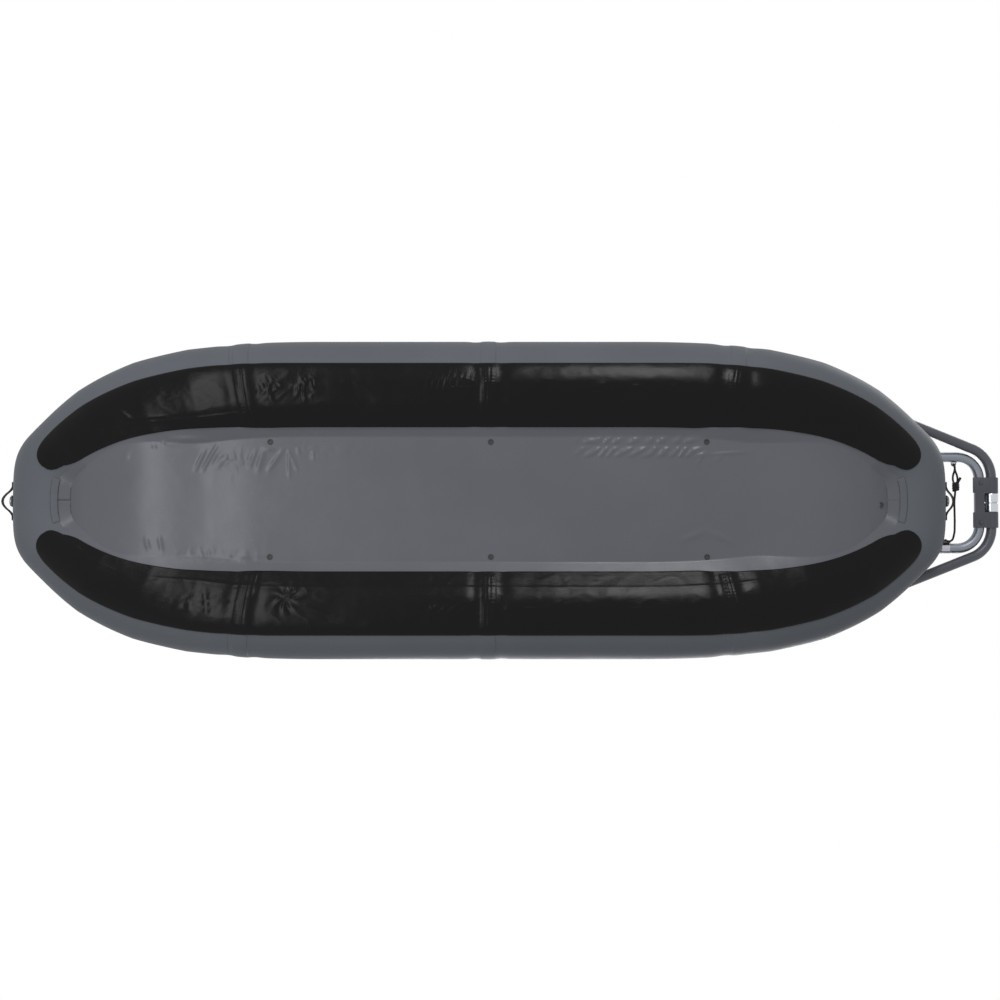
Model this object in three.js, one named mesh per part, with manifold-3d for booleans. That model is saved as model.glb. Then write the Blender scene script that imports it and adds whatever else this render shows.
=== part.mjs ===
// An inflatable fishing raft with a bolt-together rowing frame, two swivel seats, two oarlocks and a
// stern anchor frame with its roller.
//
// Sizes are in millimetres. +X is the bow, +Y is port and +Z is up. The pieces are laid out from the
// middle of the hull, and the whole raft is then moved so that the origin lies under its middle.

import * as THREE from 'three';
import { mergeVertices } from 'three/addons/utils/BufferGeometryUtils.js';
import Module from 'manifold-3d';

// Driving dimensions

const fit = 0.3; // air left between two pieces that touch
const originAft = 117; // the origin lies this far aft of the middle of the hull

const hullHalfLength = 1854;
const hullHalfBeam = 615.5;
const tubeRadius = 190; // a 15 inch tube
const tubeRadiusAtEnds = 175;
const rockerStart = 900; // the ends rise beyond this distance from midships
const rockerRise = 160;
const seamAtBow = 927; // cross seams of the side tubes
const seamMidships = -31;
const seamAtStern = -985;

const patchThickness = 3;
const patchOutboard = 88; // edge of the wear patch, outboard of the tube's lowest line
const patchOutboardAtShoulder = 98;
const patchInboard = 150;
const patchInboardAtTip = 40;
const skinThickness = 3;
const webLength = 110; // from the crease under the tube up to the flat floor
const creaseAngle = 28.7; // inboard of the tube's lowest line
const drainHoleRadius = 9;
const drainHoleOffset = 219;
const drainHolesAt = [794, -47, -870];
const sternDrainHole = [-1556, -19];
const floorThickness = 100;

const strapWidth = 25;
const strapThickness = 2.5;
const ringWire = 2.5;

const frameTube = 41.3 / 2; // 1 5/8 inch tube
const frameBore = 36.5 / 2;
const spigot = 17.8;
const spigotLength = 60;
const railOffset = 425; // the rails lie over the middle of the side tubes
const railFront = 1020;
const railAft = -950;
const railPlug = 30; // the rail is closed for this length at its front
const buttonFromEnd = 30; // the snap button sits this far from the joint
const sleeveWall = 4;
const bowBarX = 940;
const frontSeatX = 520;
const footBarX = 60;
const rowingSeatX = -480;
const aftBarX = -850;
const holdDownX = 630; // straps that hold the frame down, fore and aft of midships

const anchorHeight = 565; // the stern bars lie at this height
const sternBarX = -2107;
const sternRiseX = -1010; // the stern tube leaves the level of the rails
const sternTurnX = -1490; // and then turns inwards
const sternTaper = 20.7; // degrees
const hoopBarX = -2057;
const hoopLegY = 188;
const hoopFootX = -1280;

const oarlockX = -120;
const oarlockHeight = 215; // top of the stand above the rail's axis

const seatWidth = 430;
const seatDepth = 420;
const backHeight = 390;
const backRecline = 12; // degrees

// Colours and finishes

function finish(color, roughness, metalness = 0) {
  return new THREE.MeshStandardMaterial({ color, roughness, metalness });
}
const greyVinyl = finish(0x60646a, 0.45);
const blackVinyl = finish(0x232325, 0.4);
const floorVinyl = finish(0x62646a, 0.5);
const webbing = finish(0x1c1c1e, 0.85);
const coatedTube = finish(0x43444c, 0.5, 0.2);
const bareAluminium = finish(0xa9adb4, 0.35, 0.9);
const polishedMetal = finish(0xd0d3d8, 0.2, 1);
const steelWire = finish(0x8f9298, 0.3, 1);
const blackPlastic = finish(0x1e1f21, 0.5);
const seatPlastic = finish(0x4a4c50, 0.55);
const seatVinyl = finish(0x6e7278, 0.6);

// Small maths

const degrees = Math.PI / 180;
const vec = (x, y, z = 0) => new THREE.Vector3(x, y, z);
const mix = THREE.MathUtils.lerp;
const smooth = THREE.MathUtils.smoothstep;
const count = (number) => Array.from({ length: number }, (_, i) => i);
const mirrored = (points) => points.map((p) => vec(p.x, -p.y, p.z)).reverse();

// Closed bodies

const wasm = await Module();
wasm.setup();

function closedBody(points, faces) {
  let volume = 0;
  for (let i = 0; i < faces.length; i += 3) {
    const [a, b, c] = [points[faces[i]], points[faces[i + 1]], points[faces[i + 2]]];
    volume += a.dot(b.clone().cross(c));
  }
  const geometry = new THREE.BufferGeometry().setFromPoints(points);
  geometry.setIndex(volume > 0 ? faces : faces.slice().reverse());
  return geometry;
}

// A skin over rings of points. The end rings are closed by a fan, or by a ladder where each ring is
// a thin sheet's lower side followed by its upper side in reverse.
function loft(rings, cap = 'fan') {
  const size = rings[0].length;
  const faces = [];
  const quad = (a, b, c, d) => faces.push(a, b, c, a, c, d);
  for (const i of count(rings.length - 1)) {
    for (const j of count(size)) {
      const next = (j + 1) % size;
      quad(i * size + j, i * size + next, (i + 1) * size + next, (i + 1) * size + j);
    }
  }
  const last = (rings.length - 1) * size;
  for (const j of count(cap === 'fan' ? size - 2 : 0)) {
    faces.push(0, j + 2, j + 1);
    faces.push(last, last + j + 1, last + j + 2);
  }
  for (const j of count(cap === 'ladder' ? size / 2 - 1 : 0)) {
    quad(j + 1, j, size - 1 - j, size - 2 - j);
    quad(last + j, last + j + 1, last + size - 2 - j, last + size - 1 - j);
  }
  return closedBody(rings.flat(), faces);
}

function sheet(lowerRows, upperRows) {
  return loft(lowerRows.map((row, i) => [...row, ...upperRows[i].slice().reverse()]), 'ladder');
}

function toSolid(geometry) {
  const bare = geometry.clone();
  bare.deleteAttribute('normal');
  bare.deleteAttribute('uv');
  const merged = mergeVertices(bare);
  const vertProperties = new Float32Array(merged.attributes.position.array);
  const triVerts = new Uint32Array(merged.index.array);
  return new wasm.Manifold(new wasm.Mesh({ numProp: 3, vertProperties, triVerts }));
}

function toGeometry(solid) {
  const mesh = solid.getMesh();
  const geometry = new THREE.BufferGeometry();
  geometry.setAttribute('position', new THREE.BufferAttribute(mesh.vertProperties, 3));
  geometry.setIndex(new THREE.BufferAttribute(mesh.triVerts, 1));
  return geometry;
}

function join(first, ...others) {
  return toGeometry(others.reduce((sum, next) => sum.add(toSolid(next)), toSolid(first)));
}

function cut(first, ...others) {
  return toGeometry(others.reduce((rest, next) => rest.subtract(toSolid(next)), toSolid(first)));
}

function common(first, second) {
  return toGeometry(toSolid(first).intersect(toSolid(second)));
}

function box(sizeX, sizeY, sizeZ, x = 0, y = 0, z = 0) {
  return new THREE.BoxGeometry(sizeX, sizeY, sizeZ).translate(x, y, z);
}

// A round bar along X, Y or Z, centred at the given place.
function rod(axis, radius, length, x = 0, y = 0, z = 0, sides = 12) {
  const bar = new THREE.CylinderGeometry(radius, radius, length, sides);
  if (axis === 'x') bar.rotateZ(Math.PI / 2);
  if (axis === 'z') bar.rotateX(Math.PI / 2);
  return bar.translate(x, y, z);
}

// A cutter for a hole that a bar of the given radius clears all round.
function bore(axis, radius, length, x = 0, y = 0, z = 0, sides = 12) {
  return rod(axis, radius / Math.cos(Math.PI / sides), length, x, y, z, sides);
}

// A profile of radius and height turned about Z.
function turned(profile, sides = 16) {
  const points = profile.map(([radius, height]) => new THREE.Vector2(radius, height));
  return new THREE.LatheGeometry(points, sides).rotateX(Math.PI / 2);
}

// A flat outline in X and Y, pulled up along Z.
function plate(outline, thickness, curveSegments = 6) {
  return new THREE.ExtrudeGeometry(outline, { depth: thickness, bevelEnabled: false, curveSegments });
}

function roundedRectangle(sizeX, sizeY, radius) {
  const [x, y] = [sizeX / 2 - radius, sizeY / 2 - radius];
  const outline = new THREE.Shape();
  outline.absarc(x, -y, radius, -Math.PI / 2, 0);
  outline.absarc(x, y, radius, 0, Math.PI / 2);
  outline.absarc(-x, y, radius, Math.PI / 2, Math.PI);
  outline.absarc(-x, -y, radius, Math.PI, Math.PI * 1.5);
  return outline;
}

// The axis of a bent tube: straight runs joined by round bends, with stations only where it bends.
class BentAxis extends THREE.Curve {
  constructor(corners, radii, bendSteps) {
    super();
    const heading = (from, to) => to.clone().sub(from).normalize();
    this.stations = [corners[0]];
    this.tangents = [heading(corners[0], corners[1])];
    radii.forEach((radius, i) => {
      const [before, corner, after] = corners.slice(i, i + 3);
      const into = heading(before, corner);
      const out = heading(corner, after);
      const turn = into.angleTo(out);
      const side = out.clone().addScaledVector(into, -Math.cos(turn)).normalize();
      const from = corner.clone().addScaledVector(into, -radius * Math.tan(turn / 2));
      const steps = Math.max(2, Math.round((bendSteps * turn) / (Math.PI / 2)));
      for (const step of count(steps + 1)) {
        const angle = (turn * step) / steps;
        const along = from.clone().addScaledVector(into, radius * Math.sin(angle));
        this.stations.push(along.addScaledVector(side, radius * (1 - Math.cos(angle))));
        const tangent = into.clone().multiplyScalar(Math.cos(angle));
        this.tangents.push(tangent.addScaledVector(side, Math.sin(angle)));
      }
    });
    this.stations.push(corners.at(-1));
    this.tangents.push(heading(corners.at(-2), corners.at(-1)));
  }

  getPoint(t, target = vec(0, 0)) {
    return target.copy(this.stations[Math.round(t * (this.stations.length - 1))]);
  }

  getSpacedPoints() {
    return this.stations.map((station) => station.clone());
  }

  getTangentAt(u, target = vec(0, 0)) {
    return target.copy(this.tangents[Math.round(u * (this.stations.length - 1))]);
  }
}

function roundSection(radius, sides) {
  const corner = (i) => (Math.PI * 2 * i) / sides;
  return new THREE.Shape(count(sides).map((i) => {
    return new THREE.Vector2(radius * Math.cos(corner(i)), radius * Math.sin(corner(i)));
  }));
}

function bentTube(corners, radii, radius, bendSteps = 5, sides = 12) {
  const extrudePath = new BentAxis(corners, radii, bendSteps);
  const steps = extrudePath.stations.length - 1;
  return new THREE.ExtrudeGeometry(roundSection(radius, sides), { steps, extrudePath });
}

function curvedTube(points, radius, steps, sides = 8) {
  const extrudePath = new THREE.CatmullRomCurve3(points);
  return new THREE.ExtrudeGeometry(roundSection(radius, sides), { steps, extrudePath });
}

// Hull form

// Half the outer outline, from the bow's middle to midships, and the cockpit's inner outline.
const flat = (x, y) => new THREE.Vector2(x, y);
const innerHalfBeam = hullHalfBeam - 2 * tubeRadius;
const outerEnd = new THREE.CubicBezierCurve(
  flat(hullHalfLength, 0), flat(hullHalfLength, 194), flat(1847, 204.2), flat(1699.5, 336.2));
const outerShoulder = new THREE.CubicBezierCurve(
  flat(1699.5, 336.2), flat(1448, 559.3), flat(1168, hullHalfBeam), flat(600, hullHalfBeam));
const innerEnd = new THREE.CubicBezierCurve(
  flat(1510, 0), flat(1510, 35), flat(1480, 50), flat(1453, 68));
const innerShoulder = new THREE.CubicBezierCurve(
  flat(1453, 68), flat(1310, 175), flat(1055, innerHalfBeam), flat(600, innerHalfBeam));

const flatUnder = 8; // degrees each side of the lowest line that the tube rests on
const equator = (tubeRadius + fit + patchThickness) * Math.cos(flatUnder * degrees);

// A station is a place along one side of the tube ring: 0 at the bow's middle, 1 at midships and 2
// at the stern's middle. Below zero it is on the starboard side.
const endShare = 0.3; // share of a quarter taken by the end curve
const shoulderShare = 0.6; // and by the shoulder curve; the rest is straight

function station(place) {
  const along = Math.abs(place);
  const quarter = along > 1 ? 2 - along : along;
  const shoulder = (quarter - endShare) / shoulderShare;
  const straight = Math.max(0, (1 - quarter) / (1 - endShare - shoulderShare));
  let outer = flat(outerShoulder.v3.x * straight, hullHalfBeam);
  let inner = flat(innerShoulder.v3.x * straight, innerHalfBeam);
  if (shoulder < 0) {
    outer = outerEnd.getPoint(quarter / endShare);
    inner = innerEnd.getPoint(quarter / endShare);
  } else if (shoulder < 1) {
    outer = outerShoulder.getPoint(shoulder);
    inner = innerShoulder.getPoint(shoulder);
  }
  const rise = Math.max(0, (outer.x - rockerStart) / (hullHalfLength - rockerStart)) ** 2;
  const turn = (point) => vec(along > 1 ? -point.x : point.x, place < 0 ? -point.y : point.y);
  const [outside, inside] = [turn(outer), turn(inner)];
  const centre = outside.clone().add(inside).multiplyScalar(0.5).setZ(equator + rockerRise * rise);
  const outward = outside.clone().sub(inside).normalize();
  const halfWidth = outside.distanceTo(inside) / 2;
  const halfHeight = mix(tubeRadius, tubeRadiusAtEnds, rise);
  const web = 1 - smooth(Math.abs(centre.x), 1050, 1516);
  return { centre, inside, outward, halfWidth, halfHeight, web };
}

// The place on the port side where a length, read at each station, falls to the given value.
function placeWhere(read, value) {
  let [low, high] = [0, 2];
  for (const _ of count(40)) {
    const middle = (low + high) / 2;
    if (read(station(middle)) > value) low = middle;
    else high = middle;
  }
  return low;
}

const placeAt = (x) => placeWhere((at) => at.centre.x, x);

// A point on the tube, by its angle inboard of the lowest line, lifted off the surface.
function onTube(at, angle, lift = 0) {
  const [sin, cos] = [Math.sin(angle * degrees), Math.cos(angle * degrees)];
  const point = at.centre.clone().addScaledVector(at.outward, -at.halfWidth * sin);
  point.z -= at.halfHeight * cos;
  const normal = at.outward.clone().multiplyScalar(-at.halfHeight * sin).setZ(-at.halfWidth * cos);
  return point.addScaledVector(normal.normalize(), lift);
}

const creaseAt = (at) => mix(12, creaseAngle, at.web);
const webAt = (at) => mix(62, webLength, at.web);

// A point on the web, by its distance inboard of the crease.
function onWeb(at, distance, lift = 0) {
  const crease = creaseAt(at) * degrees;
  const along = at.outward.clone().multiplyScalar(-at.halfWidth * Math.cos(crease));
  along.setZ(at.halfHeight * Math.sin(crease)).normalize();
  return onTube(at, creaseAt(at), lift).addScaledVector(along, distance);
}

// Stations of one side from bow to stern. They crowd where the outline bends.
const quarterStations = [
  ...count(4).map((i) => (endShare * i) / 4),
  ...count(8).map((i) => endShare + (shoulderShare * i) / 8),
  endShare + shoulderShare,
];
const seams = [seamAtBow, seamMidships, seamAtStern].map(placeAt);
const sideStations = [
  ...quarterStations, ...seams, ...quarterStations.map((place) => 2 - place),
].sort((a, b) => a - b);

function stretch(from, to) {
  const near = 0.004;
  const inside = sideStations.filter((place) => place > from + near && place < to - near);
  return [from, ...inside, to];
}

// Tubes. Their section has a corner where each wear patch and web needs one.

function tubeRing(place) {
  const at = station(place);
  const crease = creaseAt(at);
  const above = 68;
  const inboard = [-flatUnder, flatUnder, crease, mix(crease, above, 0.5), above, 90];
  const top = [110, 130, 150, 170, -170, -150, -130, -110];
  const outboard = [-90, -72, -54, -38, -25.5];
  return [...inboard, ...top, ...outboard].map((angle) => onTube(at, angle));
}

// Places run from bow to stern on the port side, and on to the bow again on the starboard side.
function alongSide(side, from, to) {
  const places = stretch(from, to);
  return side > 0 ? places : places.map((place) => -place).reverse();
}

function sideTube(side, fromX, toX) {
  const places = alongSide(side, placeAt(fromX - fit / 2), placeAt(toX + fit / 2));
  return loft(places.map(tubeRing));
}

function bowSection() {
  const seam = placeAt(seamAtBow + fit / 2);
  return loft([...alongSide(-1, 0, seam), ...alongSide(1, 0, seam).slice(1)].map(tubeRing));
}

function sternSection() {
  const seam = placeAt(seamAtStern - fit / 2);
  return loft([...alongSide(1, seam, 2), ...alongSide(-1, seam, 2).slice(1)].map(tubeRing));
}

// Bottom skin: one sheet that runs down a web on each side, feathered where it meets the tube.

const noseOfSkin = 0.012;
const skinLift = 1.5; // room for the wear patch, which lies over the web's lower side
const skinPlaces = stretch(noseOfSkin, 2 - noseOfSkin).filter((place) => place > 0);

function bottomSkin() {
  const rows = skinPlaces.map((place) => {
    const nose = place === noseOfSkin || place === 2 - noseOfSkin;
    const side = (sign) => {
      const at = station(sign * place);
      const edge = onWeb(at, nose ? 34 : webAt(at), -skinLift);
      const thick = nose ? 0.4 : skinThickness;
      const top = onWeb(at, nose ? 33 : 56, -skinLift - thick);
      const lower = [onWeb(at, 30, -skinLift), edge];
      return { lower, upper: [top, edge.clone().setZ(edge.z + thick)] };
    };
    return { port: side(1), starboard: side(-1) };
  });
  const across = (level) => rows.map(({ port, starboard }) => {
    return [...port[level], ...starboard[level].slice().reverse()];
  });
  const drill = (x, y) => rod('z', drainHoleRadius, 600, x, y, 200, 10);
  const pairs = drainHolesAt.flatMap((x) => [drill(x, drainHoleOffset), drill(x, -drainHoleOffset)]);
  return cut(sheet(across('lower'), across('upper')), ...pairs, drill(...sternDrainHole));
}

// Top of the bottom skin along the middle of the raft.
function skinTop(x) {
  const place = placeWhere((at) => onWeb(at, webAt(at)).x, x);
  const at = station(place);
  return onWeb(at, webAt(at), -skinLift).z + skinThickness;
}

// Wear patches: a layer under tube and web, cut to its outline.

const patchTip = 0.15; // place of the rounded tip
const patchTipLength = 0.13; // the tip is half an ellipse as long as this share of a quarter
const patchTipMiddle = 10; // and its middle lies this far outboard
const patchFull = 0.8; // the patch has its whole width from here to midships

function patchLayer(side) {
  const places = alongSide(side, 0.1, 1.9);
  const row = (lift) => places.map((place) => {
    const at = station(place);
    const tube = [-38, -25.5, -flatUnder, flatUnder, creaseAt(at)];
    return [...tube.map((angle) => onTube(at, angle, lift)), onWeb(at, 0.8 * webAt(at), lift)];
  });
  return sheet(row(fit), row(fit + patchThickness));
}

// How far the patch's edge lies from the middle of the tube, positive outboard.
function patchEdge(quarter, outboardSide) {
  const { clamp } = THREE.MathUtils;
  const fromTip = clamp((quarter - patchTip) / patchTipLength, 0, 1);
  const taper = clamp((quarter - 0.22) / (patchFull - 0.22), 0, 1) ** 0.75;
  const inboard = -mix(patchInboardAtTip, patchInboard, taper);
  const outboard = mix(patchOutboardAtShoulder, patchOutboard, smooth(quarter, 0.7, 0.9));
  const round = Math.sqrt(1 - (1 - fromTip) ** 2);
  return mix(patchTipMiddle, outboardSide ? outboard : inboard, round);
}

function patchOutline(side) {
  const steps = 22;
  const edge = (outboardSide) => count(steps + 1).map((i) => {
    const place = mix(patchTip, 2 - patchTip, (1 - Math.cos((Math.PI * i) / steps)) / 2);
    const at = station(side * place);
    const offset = patchEdge(1 - Math.abs(1 - place), outboardSide);
    return at.centre.clone().addScaledVector(at.outward, offset);
  });
  const outline = [...edge(true), ...edge(false).slice(1, -1).reverse()];
  return new THREE.Shape(outline.map((p) => flat(p.x, p.y)));
}

function wearPatch(side) {
  return common(patchLayer(side), plate(patchOutline(side), 400).translate(0, 0, -20));
}

// Floor panel: flat top and bottom joined by thousands of threads, with round inflated sides.

const floorLift = 5; // the panel lies loose on the skin

function floorPanel() {
  const places = stretch(0.38, 1.62);
  const ring = (x, half, height, base) => {
    const arc = count(5).map((i) => ((i / 4 - 0.5) * Math.PI));
    const side = (sign) => arc.map((angle) => vec(
      x,
      sign * (half - height / 2 + (height / 2) * Math.cos(angle)),
      base + (height / 2) * (1 + Math.sin(angle))));
    return [...side(1), ...side(-1).reverse()];
  };
  const rings = places.map((place) => {
    const { inside } = station(place);
    return ring(inside.x, inside.y - 6, floorThickness, skinTop(inside.x) + floorLift);
  });
  const lip = (place, beyond) => {
    const { inside } = station(place);
    const base = skinTop(inside.x) + floorLift + floorThickness * 0.22;
    return ring(inside.x + beyond, inside.y - 16, floorThickness * 0.56, base);
  };
  return loft([lip(places[0], 20), ...rings, lip(places.at(-1), -20)]);
}

// A layer on a tube between two places and two angles, such as a glued patch.
function tubePatch(places, angles, thickness, lift = 0.9) {
  const rows = (height) => places.map((place) => {
    return angles.map((angle) => onTube(station(place), angle, height));
  });
  return sheet(rows(lift), rows(lift + thickness));
}

// Carry handles: a strap that stands out from the end of the hull between two sewn pads.

const handleRoot = 0.036; // place of each pad's middle

function endHandle(end, reach) {
  const towards = end === 0 ? 1 : -1;
  const pad = (side) => {
    const places = [-0.009, 0, 0.009].map((shift) => side * Math.abs(end - handleRoot - shift));
    return tubePatch(places, [-102, -94, -86, -78], strapThickness);
  };
  const port = onTube(station(Math.abs(end - handleRoot)), -90, 3);
  const out = (y, x) => vec(towards * (hullHalfLength + x), y, port.z);
  const half = [port, out(44, reach * 0.3), out(24, reach * 0.78), out(8, reach)];
  const path = [...half, ...mirrored(half)];
  const section = new THREE.Shape([flat(-strapWidth / 2, -1.5), flat(strapWidth / 2, -1.5),
    flat(strapWidth / 2, 1.5), flat(-strapWidth / 2, 1.5)]);
  const extrudePath = new THREE.CatmullRomCurve3(path);
  const strap = new THREE.ExtrudeGeometry(section, { steps: 14, extrudePath });
  return join(strap, pad(1), pad(-1));
}

// Tow rings: a D of steel wire in a keeper on its glued patch, hanging at an angle.

const ringHang = 80; // degrees below level
const ringStandOff = 9; // the hinge bar's axis off the hull
const ringDepth = 19; // swung level, the ring stays short of the handle

function towRing() {
  const bar = rod('y', ringWire, 43, 0, 0, 0, 8);
  const corners = [vec(0, -19), vec(ringDepth, -19), vec(ringDepth, 19), vec(0, 19)];
  const arc = bentTube(corners, [18.5, 18.5], ringWire, 3, 6);
  return join(arc, bar);
}

function towRingPatch(end) {
  const towards = end === 0 ? 1 : -1;
  const across = end === 0 ? [-0.012, 0, 0.012] : [1.988, 2, -1.988];
  const pad = tubePatch(across, [-106, -98, -90, -82, -74], strapThickness);
  const barAt = towards * (hullHalfLength + ringStandOff);
  const height = onTube(station(end), -90).z;
  const keeper = rod('y', ringWire + 2.8, 24, barAt, 0, height, 12);
  const root = box(8, 24, 9, barAt - towards * 4, 0, height);
  return cut(join(pad, root, keeper), bore('y', ringWire + fit, 30, barAt, 0, height, 12));
}

// Air valves: a recessed body with a cap that turns and lifts off.

function valveBody() {
  return turned([[0, 0], [34, 0], [34, 3], [31, 6], [26.4, 6], [26.4, 2], [0, 2]], 14);
}

function valveCap() {
  const disc = turned([[0, 2.4], [26, 2.4], [26, 7], [23, 9], [0, 9]], 14);
  return join(disc, box(38, 7, 6, 0, 0, 11));
}

// Frame straps: a webbing belt laid over the tube and the rail.

const railHeight = equator + tubeRadius + frameTube + sleeveWall + 2;

function holdDownStrap() {
  const rail = railHeight - equator;
  const inner = tubeRadius + 1.2;
  const overRail = frameTube + 0.4;
  const lean = Math.asin((inner - overRail) / rail);
  const low = 10 * degrees;
  const outline = new THREE.Shape();
  const out = strapThickness;
  outline.absarc(0, 0, inner + out, low, lean);
  outline.absarc(0, rail, overRail + out, lean, Math.PI - lean);
  outline.absarc(0, 0, inner + out, Math.PI - lean, Math.PI - low);
  outline.absarc(0, 0, inner, Math.PI - low, Math.PI - lean, true);
  outline.absarc(0, rail, overRail, Math.PI - lean, lean, true);
  outline.absarc(0, 0, inner, lean, low, true);
  const belt = plate(outline, strapWidth, 4).translate(0, 0, -strapWidth / 2);
  return belt.rotateX(Math.PI / 2).rotateZ(Math.PI / 2);
}

// Frame

const sleeveRadius = frameTube + fit + sleeveWall;
const buttonHoleRadius = 4.6;
const buttonTravel = 6.5;

function rail() {
  const length = railFront - railAft;
  const hollow = rod('x', frameBore, length, -railPlug);
  const buttonHole = rod('y', buttonHoleRadius, 30, buttonFromEnd - length / 2, 15, 0, 10);
  return cut(rod('x', frameTube, length), hollow, buttonHole);
}

// A cross bar with a sleeve at each end that slides on a rail.
function crossBar() {
  const bar = rod('y', frameTube, 2 * railOffset - 30);
  const sleeves = [1, -1].map((side) => rod('x', sleeveRadius, 64, 0, side * railOffset, 0));
  const bores = [1, -1].map((side) => bore('x', frameTube + fit, 80, 0, side * railOffset, 0));
  return cut(join(bar, ...sleeves), ...bores);
}

const sternSlope = (anchorHeight - railHeight) / (sternRiseX - sternBarX);
const sternTubeHeight = (x) => railHeight + sternSlope * (sternRiseX - x);

// The stern tube climbs from the rails, turns inwards and crosses behind the hull.
function sternTube() {
  const cornerY = railOffset - Math.tan(sternTaper * degrees) * (sternTurnX - sternBarX);
  const port = [
    vec(railAft - fit, railOffset, railHeight),
    vec(sternRiseX, railOffset, railHeight),
    vec(sternTurnX, railOffset, sternTubeHeight(sternTurnX)),
    vec(sternBarX, cornerY, anchorHeight),
  ];
  const tube = bentTube([...port, ...mirrored(port)], [150, 220, 126, 126, 220, 150], frameTube);
  const spigots = [1, -1].map((side) => {
    return rod('x', spigot, spigotLength + 10, railAft + spigotLength / 2 - 5, side * railOffset, railHeight);
  });
  const pockets = [1, -1].map((side) => {
    const depth = spigot + buttonTravel + 5;
    const middle = side * (railOffset + spigot + 5 - depth / 2 - 3);
    return rod('y', buttonHoleRadius, depth, railAft + buttonFromEnd, middle, railHeight, 10);
  });
  return cut(join(tube, ...spigots), ...pockets);
}

function snapButton() {
  return turned([[0, 0], [4.1, 0], [4.1, 22], [2.6, 24], [0, 24.5]], 10);
}

// The cross bar between the stern tube's legs, which carries the anchor hoop's feet.
function hoopBar() {
  const lean = Math.atan(sternSlope);
  const bar = rod('y', frameTube, 2 * railOffset - 30);
  const along = (side, shape) => shape.rotateY(lean).translate(0, side * railOffset, 0);
  const sleeves = [1, -1].map((side) => along(side, rod('x', sleeveRadius, 64)));
  const bores = [1, -1].map((side) => along(side, bore('x', frameTube + fit, 80)));
  return cut(join(bar, ...sleeves), ...bores);
}

function anchorHoop() {
  const footHeight = sternTubeHeight(hoopFootX);
  const port = [
    vec(hoopFootX - 12, hoopLegY, footHeight + 8),
    vec(-1560, hoopLegY, anchorHeight),
    vec(hoopBarX, hoopLegY, anchorHeight),
  ];
  const tube = bentTube([...port, ...mirrored(port)], [120, 92, 92, 120], frameTube);
  const feet = [1, -1].map((side) => rod('y', sleeveRadius, 54, hoopFootX, side * hoopLegY, footHeight));
  const bores = [1, -1].map((side) => {
    return bore('y', frameTube + fit, 70, hoopFootX, side * hoopLegY, footHeight);
  });
  const boltHoles = boltsAt.map((y) => bore('z', boltRadius + fit, 80, hoopBarX, y, anchorHeight, 10));
  return cut(join(tube, ...feet), ...bores, ...boltHoles);
}

// Stern bracket: a plate bolted under the hoop, curled into two eyes round the stern tube.

const boltsAt = [82, -82];
const boltRadius = 4;
const eyeRadius = 28;
const eyeEnd = 103.5;
const rollerHalf = 38;
const rollerSides = 16;
const bracketThickness = 6;
const bracketFront = -2025;
const bracketWindow = -2072; // front edge of the roller's window
const notchDepth = 9; // the plate is cut back over the hoop, opposite the roller
const notchWidth = 80;
const bracketTop = anchorHeight - frameTube - fit;

function bracket() {
  const width = bracketFront - sternBarX;
  const middle = bracketTop - bracketThickness / 2;
  const slab = box(width, 2 * eyeEnd, bracketThickness, sternBarX + width / 2, 0, middle);
  const windowLength = bracketWindow - sternBarX + 22;
  const window = box(windowLength, 2 * rollerHalf + 1, 20, bracketWindow - windowLength / 2, 0, middle);
  const notch = box(2 * notchDepth, notchWidth, 20, bracketFront, 0, middle);
  const eyeLength = eyeEnd - rollerHalf - 0.5;
  const eyes = [1, -1].map((side) => {
    const y = side * (eyeEnd - eyeLength / 2);
    return rod('y', eyeRadius, eyeLength, sternBarX, y, anchorHeight, rollerSides);
  });
  const hole = bore('y', frameTube + fit, 2 * eyeEnd + 10, sternBarX, 0, anchorHeight, rollerSides);
  const boltHoles = boltsAt.map((y) => bore('z', boltRadius + fit, 30, hoopBarX, y, middle, 10));
  const hoopRoom = box(60, 2 * eyeEnd + 10, 30, hoopBarX + 8, 0, bracketTop + 15);
  return cut(join(slab, ...eyes), window, notch, hoopRoom, hole, ...boltHoles);
}

// The roller turns on the stern tube between the eyes. It has a groove round its middle.
function roller() {
  const inside = (frameTube + fit) / Math.cos(Math.PI / rollerSides);
  const edge = eyeRadius - 1.2;
  return turned([
    [inside, -rollerHalf], [edge, -rollerHalf], [eyeRadius, -rollerHalf + 1.5],
    [eyeRadius, -1.8], [edge, -1], [edge, 1], [eyeRadius, 1.8],
    [eyeRadius, rollerHalf - 1.5], [edge, rollerHalf], [inside, rollerHalf], [inside, -rollerHalf],
  ], rollerSides);
}

function bracketBolt() {
  const head = turned([[0, -5], [7, -5], [9, -2.5], [9, -fit], [0, -fit]], 10);
  const length = bracketThickness + 2 * frameTube + 4 * fit + 10;
  const shank = rod('z', boltRadius, length, 0, 0, length / 2 - 1, 10);
  const nutHeight = bracketThickness + 2 * frameTube + 3 * fit;
  return join(head, shank, rod('z', 8, 7, 0, 0, nutHeight + 3.5, 6));
}

// Lanyard gear on the hoop: an eye on the port leg and a sprung cam cleat on the starboard leg.

const hoopInside = hoopLegY - frameTube - fit;
const padEyeX = -1953;
const cleatX = -1914;
const cleatHeight = 562;
const camSpread = 13; // each cam's pivot above and below the cord
const cordRadius = 4;
const camY = -hoopInside + 6; // the cams' back face
const camWidth = 9;
const postRadius = 2.5;

function padEye() {
  const base = box(24, 3, 14, 0, -1.5, 0);
  const legs = [vec(-9, -1), vec(-9, -17), vec(9, -17), vec(9, -1)];
  return join(base, bentTube(legs, [8.5, 8.5], 2.5, 3, 6));
}

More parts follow.
